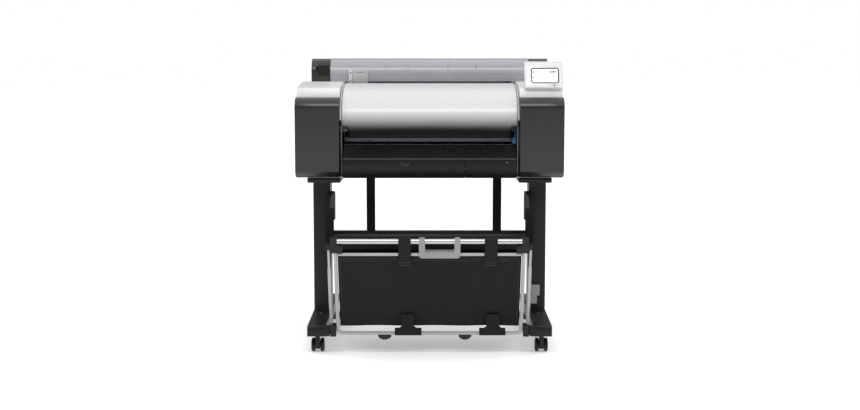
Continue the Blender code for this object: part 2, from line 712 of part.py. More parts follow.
def make_panel():
    """Tilting control panel with a touch screen and a power button."""
    hinge = pivot("panel_hinge", (PANEL_X, *PANEL_HINGE), PANEL_LEAN)
    face, back = -0.030, -0.030 + PANEL_DEPTH
    low_v = -0.045
    half = PANEL_WIDTH / 2
    panel = box("control_panel", (-half, face, low_v), (half, back, low_v + PANEL_HEIGHT),
                "white plastic", 0.005, 3)
    barrel = rod("panel_barrel", (-0.0275, 0, 0), (0.0275, 0, 0), 0.0055, None)
    web = box("panel_web", (-0.024, back - 0.002, -0.005), (0.024, 0.001, 0.005), None)
    pin = rod("panel_pin", (-0.036, 0, 0), (0.036, 0, 0), 0.003, None)
    screen_mid = 0.002
    screen_x = 0.0051
    deep = 0.003
    low = (screen_x - SCREEN_WIDTH / 2, face, screen_mid - SCREEN_HEIGHT / 2)
    high = (screen_x + SCREEN_WIDTH / 2, face + deep, screen_mid + SCREEN_HEIGHT / 2)
    edge = Vector((TOUCH, 0, TOUCH))
    pocket = box("screen_pocket", Vector(low) - edge - Vector((0, 0.01, 0)),
                 Vector(high) + edge + Vector((0, TOUCH, 0)), None)
    screen = box("touch_screen", low, high, "screen glass")
    button_at = Vector((0.0376, face, low_v + 0.0085))
    well = rod("button_well", button_at - Vector((0, 0.01, 0)), button_at + Vector((0, 0.009, 0)),
               BUTTON_RADIUS + PLAY, None)
    button = rod("power_button", button_at - Vector((0, 0.0008, 0)),
                 button_at + Vector((0, 0.006, 0)), BUTTON_RADIUS, "grey plastic")
    fuse(panel, web, barrel, pin)
    cut(panel, pocket, well)
    for piece in (panel, barrel, web, pin, pocket, screen, well, button):
        piece.parent = hinge


def bezier(points, steps):
    """Points along a cubic Bezier curve in Y and Z."""
    first, second, third, last = (Vector(point) for point in points)
    curve = []
    for step in range(steps + 1):
        t = step / steps
        s = 1 - t
        curve.append(first * s ** 3 + second * 3 * s * s * t + third * 3 * s * t * t + last * t ** 3)
    return curve


def make_lid():
    """The curved access lid, hinged along its rear edge."""
    y, z = LID_HINGE
    front = BODY_FRONT + 0.0185
    waist = HOUSING_TOP - 0.0727
    hood = bezier([(y - 0.0005, z + 0.003), (y - 0.110, z + 0.001), (front, z - 0.036), (front, waist)], 10)
    chin = bezier([(front, waist), (front, waist - 0.030), (front + 0.0195, waist - 0.057),
                   (front + 0.0435, waist - 0.0767)], 5)
    lid = sheet("top_cover", hood + chin[1:], -LID_HALF, LID_HALF, WALL, "white plastic")
    hinge = pivot("top_cover_hinge", (0, y, z))
    tools = []
    for side, word in ((-1, "left"), (1, "right")):
        low, high = span(side, LID_HALF - 0.018, LID_HALF + 0.01)
        tools.append(box(word + "_lid_notch", (low, front - 0.02, waist - 0.10),
                         (high, front + 0.08, waist - 0.034), None))
    cut(lid, *tools)
    carry(hinge, lid, *tools)


def make_doors():
    """Ink tank door and maintenance door, hinged along their bottom edges."""
    y, z = DOOR_HINGE
    top = z + 0.0673
    path = [(y - 0.0235, top), (y - 0.0252, top - 0.019), (y - 0.0245, top - 0.036),
            (y - 0.015, top - 0.055), (y - 0.001, z - 0.0002)]
    split = 0.001
    for name, low, high in (("ink_tank_cover", -DOOR_HALF, DOOR_SPLIT_X - split),
                            ("maintenance_cover", DOOR_SPLIT_X + split, DOOR_HALF)):
        door = sheet(name, path, low, high, WALL, "dark plastic")
        carry(pivot(name + "_hinge", ((low + high) / 2, y, z)), door)


def make_paper_path():
    """Platen, its sloping ejection guide, and the feed roller in the chassis plates."""
    platen_top = SEAT_Z + 0.1188
    box("platen", (-PLATE_INNER + 0.002, -0.045, platen_top - 0.011),
        (PLATE_INNER - 0.002, 0.088, platen_top), "black plastic", 0.001)
    shelf = BODY_FRONT + 0.0055
    path = [(-0.046, platen_top + 0.0006), (-0.060, platen_top + 0.0006), (-0.138, SEAT_Z + 0.0763),
            (shelf, SEAT_Z + 0.0733), (shelf, SEAT_Z + 0.0683)]
    sheet("ejection_guide", path, -DOOR_HALF, DOOR_HALF, WALL, "dark plastic")

    journal = 0.005
    reach = PLATE_INNER + PLATE_THICKNESS + 0.001
    body = PLATE_INNER - 0.008
    half_profile = [(0, reach), (journal, reach), (journal, body + 0.001), (FEED_RADIUS, body)]
    profile = half_profile + [(radius, -height) for radius, height in reversed(half_profile)]
    centre = (0, 0.102, platen_top - 0.0105)
    roller = turned("feed_roller", profile, "rubber", Matrix.Translation(centre) @ facing((1, 0, 0)))
    carry(pivot("feed_roller_axis", centre), roller)
    chassis = box("chassis", (-HALF + 0.004, -0.112, SEAT_Z),
                  (HALF - 0.004, HOUSING_REAR - 0.003, SEAT_Z + TRAY_THICKNESS), "zinc steel")
    for side, word in ((-1, "left"), (1, "right")):
        add_plate(chassis, side, word, centre, journal, platen_top)


def add_plate(chassis, side, word, roller_at, journal, platen_top):
    """Upright chassis plate with the carriage window, the roller bore and the lever's bore."""
    low, high = span(side, PLATE_INNER, PLATE_INNER + PLATE_THICKNESS)
    front = LEVER_PIVOT[0] - 0.010
    rear = HOUSING_REAR - 0.0035
    bottom = SEAT_Z + TRAY_THICKNESS / 2
    top = HOUSING_TOP - 0.004
    outline = rounded([(front, bottom, 0), (front, top, 0.02), (rear, top, 0), (rear, bottom, 0)])
    window = rounded([(-0.025, platen_top + 0.0005, 0.004), (-0.025, 0.870, 0.006),
                      (RAIL_Y + 0.0555, 0.870, 0.006), (RAIL_Y + 0.0555, platen_top + 0.0005, 0.004)])
    fuse(chassis, prism(word + "_plate", [outline, window], low, high, None))
    bore = rod(word + "_roller_bore", (low - 0.01, *roller_at[1:]), (high + 0.01, *roller_at[1:]),
               journal + PLAY, None)
    cut(chassis, bore)
    if side > 0:
        eye = rod("lever_bore", (low - 0.01, *LEVER_PIVOT), (high + 0.01, *LEVER_PIVOT),
                  0.004 + PLAY, None)
        cut(chassis, eye)


def make_carriage():
    """Print carriage on its rail, parked at the right over the service station."""
    reach = HALF - 0.022
    beam_front = RAIL_Y + 0.0435
    rail = box("carriage_rail", (-reach, beam_front, RAIL_Z - 0.020),
               (reach, beam_front + 0.0095, RAIL_Z + 0.060), "zinc steel")
    bar = rod("rail_bar", (-reach, RAIL_Y, RAIL_Z), (reach, RAIL_Y, RAIL_Z), RAIL_RADIUS, None, 24)
    ends = []
    for side, word in ((-1, "left"), (1, "right")):
        low, high = span(side, reach - 0.008, reach)
        ends.append(box(word + "_rail_end", (low, RAIL_Y - 0.015, RAIL_Z - 0.015),
                        (high, beam_front + 0.002, RAIL_Z + 0.015), None))
    fuse(rail, bar, *ends)

    x = CARRIAGE_PARK_X
    half = CARRIAGE_WIDTH / 2
    base = SEAT_Z + 0.1348
    body = box("carriage", (x - half, -0.018, base), (x + half, beam_front - 0.0085, base + 0.080),
               "black plastic", 0.004)
    heads = box("print_heads", (x - 0.030, -0.008, base - 0.013), (x + 0.030, 0.070, base + 0.002), None)
    tunnel = rod("rail_tunnel", (x - 0.1, RAIL_Y, RAIL_Z), (x + 0.1, RAIL_Y, RAIL_Z),
                 RAIL_RADIUS + PLAY, None, 24)
    fuse(body, heads)
    cut(body, tunnel)
    carry(pivot("carriage_slide", (x, RAIL_Y, RAIL_Z)), body, heads, tunnel)


def make_lever():
    """Blue-tipped lever that lifts the pinch rollers."""
    y, z = LEVER_PIVOT
    low = PLATE_INNER - 0.012
    high = PLATE_INNER - 0.004
    outline = rounded([(y - 0.009, z - 0.003, 0.004), (y - 0.009, z + 0.010, 0.008),
                       (y + 0.009, z + 0.010, 0.008), (y + 0.009, z - 0.004, 0.004),
                       (y - 0.008, z - 0.062, 0), (y - 0.024, z - 0.062, 0)])
    arm = prism("release_lever", [outline], low, high, "blue plastic")
    knob = box("lever_knob", (PLATE_INNER - 0.0205, y - 0.028, z - 0.0835),
               (PLATE_INNER - 0.001, y - 0.006, z - 0.058), None, 0.005)
    pin = rod("lever_pin", (high - 0.002, y, z), (PLATE_INNER + 0.002, y, z), 0.004, None)
    fuse(arm, knob, pin)
    carry(pivot("release_lever_axis", (low, y, z)), arm, knob, pin)


def make_inside():
    """What the machine holds: ink tanks, service station, waste box, board and supply."""
    floor = HOUSING_BOTTOM + 0.0005
    tank_pitch = 0.098
    for index, colour in enumerate(("black", "cyan", "magenta", "yellow")):
        left = -0.308 + index * tank_pitch
        box(f"{colour}_ink_tank", (left, -0.106, floor),
            (left + tank_pitch - 0.004, 0.110, floor + 0.055), "black plastic", 0.003)
    box("maintenance_cartridge", (0.150, -0.106, floor), (0.305, 0.060, floor + 0.055),
        "grey plastic", 0.003)
    station_half = 0.048
    box("service_station", (CARRIAGE_PARK_X - station_half, -0.020, HOUSING_BOTTOM + WALL + 0.0005),
        (CARRIAGE_PARK_X + station_half, 0.080, SEAT_Z + 0.1198), "black plastic", 0.003)
    board = -HALF + 0.0405
    box("main_board", (board, -0.040, HOUSING_BOTTOM + 0.030), (board + 0.002, 0.200, RAIL_Z - 0.030),
        "dark plastic")


# ---------------------------------------------------------------- roll unit
def rear_outline(inset):
    """Section of a roll end: it stands behind the housing and rises round the roll."""
    front = ROLL_FRONT + inset
    back = BODY_REAR - inset
    step = HOUSING_TOP + 0.0015 + inset
    shelf = HOUSING_REAR + 0.0015 + inset
    top = MACHINE_HEIGHT - 0.0015 - inset
    return rounded([(front, step, 0), (front, top, 0.050 - inset), (back, top, 0.050 - inset),
                    (back, HOUSING_TOP - 0.115, 0.02), (back - 0.0385, HOUSING_TOP - 0.190, 0.01),
                    (shelf, HOUSING_TOP - 0.215 + inset, 0), (shelf, step, 0)])


def make_roll_end(side, word):
    """D-shaped end of the roll unit, with the spindle's seat in its inner face."""
    low, high = span(side, ROLL_END_INNER, ROLL_END_INNER + ROLL_END_WIDTH)
    end = bevelled(prism(word + "_roll_end", [rear_outline(0)], low, high, "dark plastic"), 0.003)
    seat_end = side * (ROLL_END_INNER + 0.008)
    seat = rod(word + "_spindle_seat", (side * (ROLL_END_INNER - 0.01), ROLL_Y, ROLL_Z),
               (seat_end, ROLL_Y, ROLL_Z), SPINDLE_RADIUS + PLAY, None, 28)
    cut(end, seat)
    if side < 0:
        recess = box("roll_end_recess", (-0.4336, ROLL_FRONT - 0.01, 0.992),
                     (-0.3955, ROLL_FRONT + 0.006, 1.033), None)
        cut(end, recess)


def make_roll_unit():
    """Spindle, paper roll, smoked cover, cradle and rear panels."""
    for side, word in ((-1, "left"), (1, "right")):
        make_roll_end(side, word)
    centre = (0, ROLL_Y, ROLL_Z)
    frame = Matrix.Translation(centre) @ facing((1, 0, 0))
    half = ROLL_WIDTH / 2
    reach = ROLL_END_INNER + 0.007
    hub = 0.0245
    flange = ROLL_RADIUS + 0.003
    half_profile = [(0, reach), (SPINDLE_RADIUS, reach), (SPINDLE_RADIUS, half + 0.020),
                    (flange - 0.002, half + 0.012), (flange, half + 0.010), (flange, half + 0.0015),
                    (hub, half + 0.0015), (hub, half - 0.020), (SPINDLE_RADIUS, half - 0.022)]
    profile = half_profile + [(radius, -height) for radius, height in reversed(half_profile)]
    spindle = turned("roll_spindle", profile, "blue plastic", frame, steps=28)
    core = 0.0255
    ring = [(ROLL_RADIUS, half), (ROLL_RADIUS, -half), (core, -half), (core, half)]
    paper = turned("paper_roll", ring, "paper", frame, steps=32, closed=True)
    carry(pivot("roll_axis", centre), spindle, paper)

    reach = ROLL_END_INNER - 0.0018
    y, z = ROLL_HINGE
    top = MACHINE_HEIGHT
    front = ROLL_FRONT + 0.001
    arch = bezier([(front, HOUSING_TOP + 0.0560), (front, top - 0.010), (front + 0.020, top),
                   (0.290, top)], 7)
    fall = bezier([(0.370, top), (BODY_REAR - 0.022, top), (BODY_REAR - 0.004, 1.015),
                   (BODY_REAR - 0.0035, z)], 7)
    cover = sheet("roll_cover", list(reversed(arch + fall)), -reach, reach, 0.0025, "smoked plastic")
    carry(pivot("roll_cover_hinge", (0, y, z)), cover)

    cradle = arc((ROLL_Y, ROLL_Z), ROLL_RADIUS + 0.012, 325, 215, 8)
    path = [(BODY_REAR - 0.010, z - 0.001)] + cradle
    path += [(0.235, 0.9500), (front + 0.0025, 0.9655)]
    tray = sheet("roll_cradle", path, -reach, reach, 0.0025, "dark plastic")
    fuse(tray, box("rear_deck", (-LID_HALF, LID_HINGE[0] + 0.0055, LID_HINGE[1] - 0.0006),
                   (LID_HALF, front + 0.006, LID_HINGE[1] + 0.003), None))
    shelf = HOUSING_REAR + 0.0035
    path = [(shelf, HOUSING_BOTTOM), (shelf, HOUSING_TOP - 0.215),
            (BODY_REAR - 0.0385, HOUSING_TOP - 0.190), (BODY_REAR, HOUSING_TOP - 0.115),
            (BODY_REAR, z - 0.006)]
    panel = sheet("rear_cover", path, -reach, reach, WALL, "dark plastic")
    inlet_at = Vector((-0.300, BODY_REAR, HOUSING_TOP - 0.080))
    size = Vector((0.0145, 0.0, 0.0115))
    hole = box("inlet_hole", inlet_at - size - Vector((0, 0.02, 0)),
               inlet_at + size + Vector((0, 0.01, 0)), None)
    cut(panel, hole)
    size -= Vector((TOUCH, 0, TOUCH))
    inlet = box("power_inlet", inlet_at - size - Vector((0, 0.022, 0)),
                inlet_at + size - Vector((0, 0.0004, 0)), "black plastic")
    socket = box("inlet_socket", inlet_at - Vector((0.0115, 0.0165, 0.0085)),
                 inlet_at + Vector((0.0115, 0.01, 0.0085)), None)
    cut(inlet, socket)


def main():
    start_clean()
    for side, word in ((-1, "left"), (1, "right")):
        make_foot(side, word)
        make_leg(side, word)
        for place, y in (("front", CASTER_FRONT), ("rear", CASTER_REAR)):
            make_caster(side, word, place, y)
        make_side(side, word)
    make_stay()
    make_clip()
    make_basket()
    make_rear_cloth()
    make_panel()
    make_lid()
    make_doors()
    make_paper_path()
    make_carriage()
    make_lever()
    make_inside()
    make_roll_unit()


main()
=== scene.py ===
# %% [markdown]
# # A roll plotter on its stand
# The machine is a wide printer that takes paper from a roll at its back and drops each
# print into a fabric basket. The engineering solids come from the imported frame. This
# script keeps their places and makes the surfaces, the fabric and the small details.

# %% Load the frame
import json
import math

import bmesh
import bpy
from mathutils import Matrix, Vector


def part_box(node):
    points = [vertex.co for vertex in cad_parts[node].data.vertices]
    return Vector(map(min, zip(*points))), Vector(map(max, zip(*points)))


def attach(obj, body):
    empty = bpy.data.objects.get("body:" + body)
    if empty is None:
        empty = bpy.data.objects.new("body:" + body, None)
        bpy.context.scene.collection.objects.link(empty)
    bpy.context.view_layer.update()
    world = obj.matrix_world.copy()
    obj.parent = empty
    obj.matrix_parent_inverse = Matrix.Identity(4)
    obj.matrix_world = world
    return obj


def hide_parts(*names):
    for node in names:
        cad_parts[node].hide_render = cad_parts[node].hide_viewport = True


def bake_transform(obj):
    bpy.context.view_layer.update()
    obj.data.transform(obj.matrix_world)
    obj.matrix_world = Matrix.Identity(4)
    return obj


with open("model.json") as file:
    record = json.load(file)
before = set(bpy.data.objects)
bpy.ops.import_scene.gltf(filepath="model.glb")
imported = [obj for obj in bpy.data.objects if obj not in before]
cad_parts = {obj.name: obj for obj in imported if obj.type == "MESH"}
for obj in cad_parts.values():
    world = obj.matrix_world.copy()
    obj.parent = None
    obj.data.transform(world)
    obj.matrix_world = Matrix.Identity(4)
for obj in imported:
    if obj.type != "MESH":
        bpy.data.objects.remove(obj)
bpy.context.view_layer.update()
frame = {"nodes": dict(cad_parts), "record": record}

BODIES = frame["record"]["behaviour"]["bodies"]
BODY_OF = {node: body for body, nodes in BODIES.items() for node in nodes}
SLOT_OF = {part["node"]: part["material_slot"] for part in frame["record"]["subparts"]}

# %% [markdown]
# ## Where the camera stands
# A product shot of a tall machine is taken from far away with a longer lens, so that
# upright edges stay upright. The lens looks down a few degrees from about chest height.
# The picture is 36 mm wide on the sensor.

# %% Camera
scene = bpy.context.scene
lens = bpy.data.cameras.new("camera")
lens.sensor_width = 36.0
lens.lens = 53.58
camera = bpy.data.objects.new("camera", lens)
camera.location = (0.0015, -4.8185, 1.030)
camera.rotation_euler = (math.radians(90 - 6.2), 0, 0)
scene.collection.objects.link(camera)
scene.camera = camera
scene.view_settings.view_transform = "Standard"

# %% [markdown]
# ## Light and floor
# Dark plastic shows its form only through what it reflects. A broad soft light from
# above draws highlights along the rounded upper edges and keeps the pale floor even.
# A strip in front opens up the front, and the surround is white only near the horizon.

# %% Lights and floor
world = bpy.data.worlds.new("studio")
world.use_nodes = True
sky = world.node_tree
gaze = sky.nodes.new("ShaderNodeTexCoord")
parts = sky.nodes.new("ShaderNodeSeparateXYZ")
band = sky.nodes.new("ShaderNodeMapRange")
band.inputs["From Min"].default_value = 0.06
band.inputs["From Max"].default_value = 0.13
band.inputs["To Min"].default_value = 1.0
band.inputs["To Max"].default_value = 0.18
sky.links.new(gaze.outputs["Generated"], parts.inputs["Vector"])
sky.links.new(parts.outputs["Z"], band.inputs["Value"])
sky.links.new(band.outputs["Result"], sky.nodes["Background"].inputs["Strength"])
sky.nodes["Background"].inputs["Color"].default_value = (1.0, 1.0, 1.0, 1.0)
scene.world = world


def soft_box(name, place, aim, size, power):
    """A rectangular studio light aimed at a point."""
    data = bpy.data.lights.new(name, "AREA")
    data.shape = "RECTANGLE"
    data.size, data.size_y = size
    data.energy = power
    lamp = bpy.data.objects.new(name, data)
    lamp.location = place
    lamp.rotation_euler = (Vector(aim) - Vector(place)).to_track_quat("-Z", "Y").to_euler()
    scene.collection.objects.link(lamp)


dome = bpy.data.lights.new("dome", "SUN")
dome.angle = math.radians(110)
dome.energy = 2.4
dome_lamp = bpy.data.objects.new("dome", dome)
scene.collection.objects.link(dome_lamp)
soft_box("strip", (0.0, -2.1, 2.7), (0, -0.1, 0.8), (2.6, 0.42), 30)

floor_mesh = bpy.data.meshes.new("floor")
FLOOR_REACH = 60.0
corners = [(-FLOOR_REACH, -FLOOR_REACH, 0), (FLOOR_REACH, -FLOOR_REACH, 0),
           (FLOOR_REACH, FLOOR_REACH, 0), (-FLOOR_REACH, FLOOR_REACH, 0)]
floor_mesh.from_pydata(corners, [], [(0, 1, 2, 3)])
floor = bpy.data.objects.new("floor", floor_mesh)
scene.collection.objects.link(floor)

# %% [markdown]
# ## How a finish is described
# Colours are written as the hex values that a paint card would give, and one function
# turns them to the linear values that the renderer adds up. One more function adds a
# node: it sets plain values and links sockets.

# %% Colour and node helpers
def linear(code):
    """An sRGB hex colour as linear RGBA."""
    values = [int(code[i:i + 2], 16) / 255 for i in (1, 3, 5)]
    return tuple(v / 12.92 if v <= 0.04045 else ((v + 0.055) / 1.055) ** 2.4 for v in values) + (1.0,)


def put(tree, kind, settings=None, inputs=None):
    """Add a node, with its settings, and its inputs as values or as sockets to link."""
    made = tree.nodes.new(kind)
    for name, value in (settings or {}).items():
        setattr(made, name, value)
    for name, value in (inputs or {}).items():
        if isinstance(value, bpy.types.NodeSocket):
            tree.links.new(value, made.inputs[name])
        else:
            made.inputs[name].default_value = value
    return made


def new_finish(name, **sockets):
    """A material with a Principled shader, and the constants of that shader."""
    made = bpy.data.materials.new(name)
    made.use_nodes = True
    shader = made.node_tree.nodes["Principled BSDF"]
    for socket, value in sockets.items():
        shader.inputs[socket.replace("_", " ")].default_value = value
    return made, made.node_tree, shader


def grained(name, light, dark, grain, depth, rough, spread=0.06, stretch=(1, 1, 1), **sockets):
    """A surface with a fine grain in mm, a drifting tone and uneven gloss."""
    made, tree, shader = new_finish(name, **sockets)
    place = put(tree, "ShaderNodeTexCoord")
    turned = put(tree, "ShaderNodeMapping", {}, {"Vector": place.outputs["Object"], "Scale": stretch})
    fine = put(tree, "ShaderNodeTexNoise", {}, {"Vector": turned.outputs["Vector"],
               "Scale": 1000.0 / grain, "Detail": 3.0, "Roughness": 0.6})
    broad = put(tree, "ShaderNodeTexNoise", {}, {"Vector": place.outputs["Object"],
                "Scale": 7.0, "Detail": 5.0, "Roughness": 0.65})
    sum_up = put(tree, "ShaderNodeMath", {"operation": "MULTIPLY_ADD"},
                 {0: fine.outputs["Fac"], 1: 0.35, 2: broad.outputs["Fac"]})
    tone = put(tree, "ShaderNodeMapRange", {}, {"Value": sum_up.outputs["Value"],
               "From Min": 0.45, "From Max": 0.95})
    mixed = put(tree, "ShaderNodeMix", {"data_type": "RGBA"}, {0: tone.outputs["Result"],
                6: linear(dark), 7: linear(light)})
    gloss = put(tree, "ShaderNodeMapRange", {}, {"Value": broad.outputs["Fac"], "From Min": 0.3,
                "From Max": 0.7, "To Min": rough - spread, "To Max": rough + spread})
    bump = put(tree, "ShaderNodeBump", {}, {"Height": fine.outputs["Fac"], "Strength": 0.5,
               "Distance": depth / 1000.0})
    tree.links.new(mixed.outputs[2], shader.inputs["Base Color"])
    tree.links.new(gloss.outputs["Result"], shader.inputs["Roughness"])
    tree.links.new(bump.outputs["Normal"], shader.inputs["Normal"])
    return made


# %% [markdown]
# ## Plastics, coatings and metals
# The covers are injection moulded ABS. Its steel mould is spark eroded, which leaves a
# dull grain about a millimetre across. The stand is powder coated, with a finer orange
# peel. Rods are painted or plated steel. A metal keeps the default index of refraction.

# %% Hard finishes
FINISH = {
    "dark_plastic": grained("ABS moulded charcoal", "#202021", "#1b1b1c", 1.1, 0.01, 0.27, 0.03, IOR=1.53,
                            Specular_IOR_Level=0.48),
    "black_plastic": grained("ABS moulded black", "#19191a", "#131314", 1.2, 0.02, 0.44, IOR=1.53,
                             Specular_IOR_Level=0.25),
    "white_plastic": grained("ABS moulded white", "#dedede", "#d6d6d7", 1.0, 0.01, 0.36, IOR=1.53),
    "grey_plastic": grained("PC ABS moulded grey", "#8e8e90", "#838386", 1.0, 0.015, 0.42, IOR=1.55),
    "blue_plastic": grained("POM moulded blue", "#33608f", "#2b547f", 0.9, 0.01, 0.34, IOR=1.48),
    "powder_coated_steel": grained("powder coat black", "#1c1c1e", "#161618", 0.8, 0.02, 0.42, IOR=1.5,
                                   Specular_IOR_Level=0.25),
    "grey_coated_steel": grained("steel painted silver grey", "#abacae", "#a1a2a4", 0.6, 0.01, 0.34,
                                 Metallic=0.25),
    "bright_steel": grained("steel nickel plated", "#bdbdc0", "#b0b0b4", 0.4, 0.003, 0.24, 0.04,
                            (0.05, 1, 1), Metallic=1.0),
    "zinc_steel": grained("steel zinc plated", "#a8aaad", "#94979b", 4.0, 0.005, 0.36, 0.10, Metallic=1.0),
    "feed_rubber": grained("EPDM rubber ground", "#232323", "#1a1a1a", 0.5, 0.02, 0.78, IOR=1.52),
    "paper": grained("paper uncoated", "#e4e4e2", "#dcdcd9", 0.7, 0.01, 0.82, 0.03),
    "circuit_board": grained("FR4 green solder mask", "#1d5a38", "#174a2d", 2.2, 0.02, 0.30, 0.05),
    "door_plastic": grained("ABS moulded deep charcoal", "#19191a", "#141415", 1.1, 0.015, 0.38, IOR=1.53,
                            Specular_IOR_Level=0.2),
    "trim_light": grained("ABS moulded light trim", "#c2c2c1", "#b8b8b7", 1.0, 0.01, 0.40, IOR=1.53),
    "trim_dark": grained("ABS moulded slate", "#454547", "#3c3c3e", 1.0, 0.015, 0.42, IOR=1.53),
    "arm_plastic": grained("PA glass filled black", "#1b1b1c", "#161617", 1.4, 0.02, 0.66, IOR=1.55,
                           Specular_IOR_Level=0.05),
    "holder": grained("ABS moulded blue grey", "#5f6672", "#555c68", 1.0, 0.01, 0.40, IOR=1.53),
    "tyre": grained("polyurethane caster tread", "#2a2a2b", "#202021", 0.8, 0.01, 0.55, IOR=1.5),
    # a light table: sand-blasted opal acrylic with lamps under it, so shadows stay pale on it
    "floor": grained("floor opal acrylic lit from below", "#f9f9f9", "#f7f7f7", 3.0, 0.005, 0.90, 0.02,
                      Emission_Color=(1, 1, 1, 1), Emission_Strength=0.30),
}
floor.data.materials.append(FINISH["floor"])
print("made", len(FINISH), "hard finishes")

# %% [markdown]
# ## See-through and printed finishes
# The roll cover is smoked polycarbonate: it is slightly milky, so the roll behind it
# shows as a paler band. The lid is white above, and towards its chin its colour is darkened
# to charcoal as painted shade of the part that turns under. Both follow the height of the
# piece in the machine.

# %% Smoked, shade-painted lid and screen finishes
smoked, tree, shader = new_finish("PC smoked", IOR=1.58, Alpha=0.62)
place = put(tree, "ShaderNodeTexCoord")
haze = put(tree, "ShaderNodeTexNoise", {}, {"Vector": place.outputs["Object"], "Scale": 9.0, "Detail": 4.0})
tint = put(tree, "ShaderNodeMix", {"data_type": "RGBA"}, {0: haze.outputs["Fac"], 6: linear("#b4b1ba"),
           7: linear("#c0bdc5")})
gloss = put(tree, "ShaderNodeMapRange", {}, {"Value": haze.outputs["Fac"], "To Min": 0.14, "To Max": 0.26})
tree.links.new(tint.outputs[2], shader.inputs["Base Color"])
tree.links.new(gloss.outputs["Result"], shader.inputs["Roughness"])
FINISH["smoked_plastic"] = smoked

LID_LOW, LID_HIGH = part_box("top_cover")
CHIN_Z = LID_LOW.z + 0.048
lid_chin_shaded_finish, tree, shader = new_finish("ABS white with painted chin shade", IOR=1.53)
place = put(tree, "ShaderNodeTexCoord")
height = put(tree, "ShaderNodeSeparateXYZ", {}, {"Vector": place.outputs["Object"]})
# painted shade: the colour fades from white to charcoal towards the chin, where the lid turns under away from
# the light
chin_shade_ramp = put(tree, "ShaderNodeMapRange", {"interpolation_type": "SMOOTHSTEP"},
           {"Value": height.outputs["Z"], "From Min": CHIN_Z - 0.022, "From Max": CHIN_Z + 0.060})
fine = put(tree, "ShaderNodeTexNoise", {}, {"Vector": place.outputs["Object"], "Scale": 900.0, "Detail": 2.0})
broad = put(tree, "ShaderNodeTexNoise", {}, {"Vector": place.outputs["Object"], "Scale": 5.0, "Detail": 4.0})
white = put(tree, "ShaderNodeMix", {"data_type": "RGBA"}, {0: broad.outputs["Fac"], 6: linear("#ccccce"),
            7: linear("#cfcfd1")})
mixed = put(tree, "ShaderNodeMix", {"data_type": "RGBA"}, {0: chin_shade_ramp.outputs["Result"],
            6: linear("#1b1b1c"), 7: white.outputs[2]})
gloss = put(tree, "ShaderNodeMapRange", {}, {"Value": broad.outputs["Fac"], "To Min": 0.28, "To Max": 0.33})
bump = put(tree, "ShaderNodeBump", {}, {"Height": fine.outputs["Fac"], "Strength": 0.4, "Distance": 0.00003})
tree.links.new(mixed.outputs[2], shader.inputs["Base Color"])
tree.links.new(gloss.outputs["Result"], shader.inputs["Roughness"])
tree.links.new(bump.outputs["Normal"], shader.inputs["Normal"])

screen_finish, tree, shader = new_finish("display glass lit", IOR=1.52, Coat_Weight=0.6, Coat_Roughness=0.05,
                                         Emission_Strength=0.25)
place = put(tree, "ShaderNodeTexCoord")
cells = put(tree, "ShaderNodeTexVoronoi", {}, {"Vector": place.outputs["Object"], "Scale": 900.0})
glow = put(tree, "ShaderNodeMapRange", {}, {"Value": cells.outputs["Distance"], "To Min": 1.0,
           "To Max": 0.93})
lit = put(tree, "ShaderNodeMix", {"data_type": "RGBA"}, {0: glow.outputs["Result"], 6: linear("#d8dde2"),
          7: linear("#f2f5f8")})
rub = put(tree, "ShaderNodeTexNoise", {}, {"Vector": place.outputs["Object"], "Scale": 30.0, "Detail": 6.0})
gloss = put(tree, "ShaderNodeMapRange", {}, {"Value": rub.outputs["Fac"], "To Min": 0.06, "To Max": 0.20})
tree.links.new(lit.outputs[2], shader.inputs["Base Color"])
tree.links.new(lit.outputs[2], shader.inputs["Emission Color"])
tree.links.new(gloss.outputs["Result"], shader.inputs["Roughness"])
FINISH["screen_glass"] = screen_finish

# %% [markdown]
# ## Fabric
# The basket is a plain weave of black polyester with threads about half a millimetre
# apart. That is too fine to show from across a room, so the weave is drawn three times
# coarser. The pattern follows the cloth's own UV map in metres, so it bends with it.

# %% Woven polyester
THREAD = 0.0016
cloth_finish, tree, shader = new_finish("polyester plain weave", Sheen_Weight=0.02, Sheen_Roughness=0.5,
                                         Specular_IOR_Level=0.2, IOR=1.5)
place = put(tree, "ShaderNodeUVMap", {"uv_map": "cloth"})
waves = []
for direction in ("X", "Y"):
    wave = put(tree, "ShaderNodeTexWave", {"bands_direction": direction}, {"Vector": place.outputs["UV"],
               "Scale": 1 / THREAD / 20 * math.pi, "Distortion": 0.4, "Detail": 1.0})
    waves.append(wave)
weave = put(tree, "ShaderNodeMath", {"operation": "MULTIPLY"}, {0: waves[0].outputs["Fac"],
            1: waves[1].outputs["Fac"]})
slub = put(tree, "ShaderNodeTexNoise", {}, {"Vector": place.outputs["UV"], "Scale": 14.0, "Detail": 6.0})
shade = put(tree, "ShaderNodeMath", {"operation": "MULTIPLY_ADD"}, {0: weave.outputs["Value"], 1: 0.5,
            2: slub.outputs["Fac"]})
tone = put(tree, "ShaderNodeMapRange", {}, {"Value": shade.outputs["Value"], "From Min": 0.3,
           "From Max": 1.1})
mixed = put(tree, "ShaderNodeMix", {"data_type": "RGBA"}, {0: tone.outputs["Result"], 6: linear("#101011"),
            7: linear("#1d1d1f")})
bump = put(tree, "ShaderNodeBump", {}, {"Height": weave.outputs["Value"], "Strength": 0.6,
           "Distance": 0.0004})
gloss = put(tree, "ShaderNodeMapRange", {}, {"Value": slub.outputs["Fac"], "To Min": 0.62, "To Max": 0.86})
tree.links.new(mixed.outputs[2], shader.inputs["Base Color"])
tree.links.new(gloss.outputs["Result"], shader.inputs["Roughness"])
tree.links.new(bump.outputs["Normal"], shader.inputs["Normal"])
FINISH["basket_fabric"] = cloth_finish
thread_finish = grained("polyester thread grey", "#7d7d80", "#67676a", 0.3, 0.03, 0.7)

# %% [markdown]
# ## Every solid gets its finish
# A CAD solid is loose triangles. A welded copy can be shaded smooth across its rounded
# edges, while its flat faces stay flat, so the round pieces are replaced by such copies.
# The copy has the same corners, so nothing changes size.

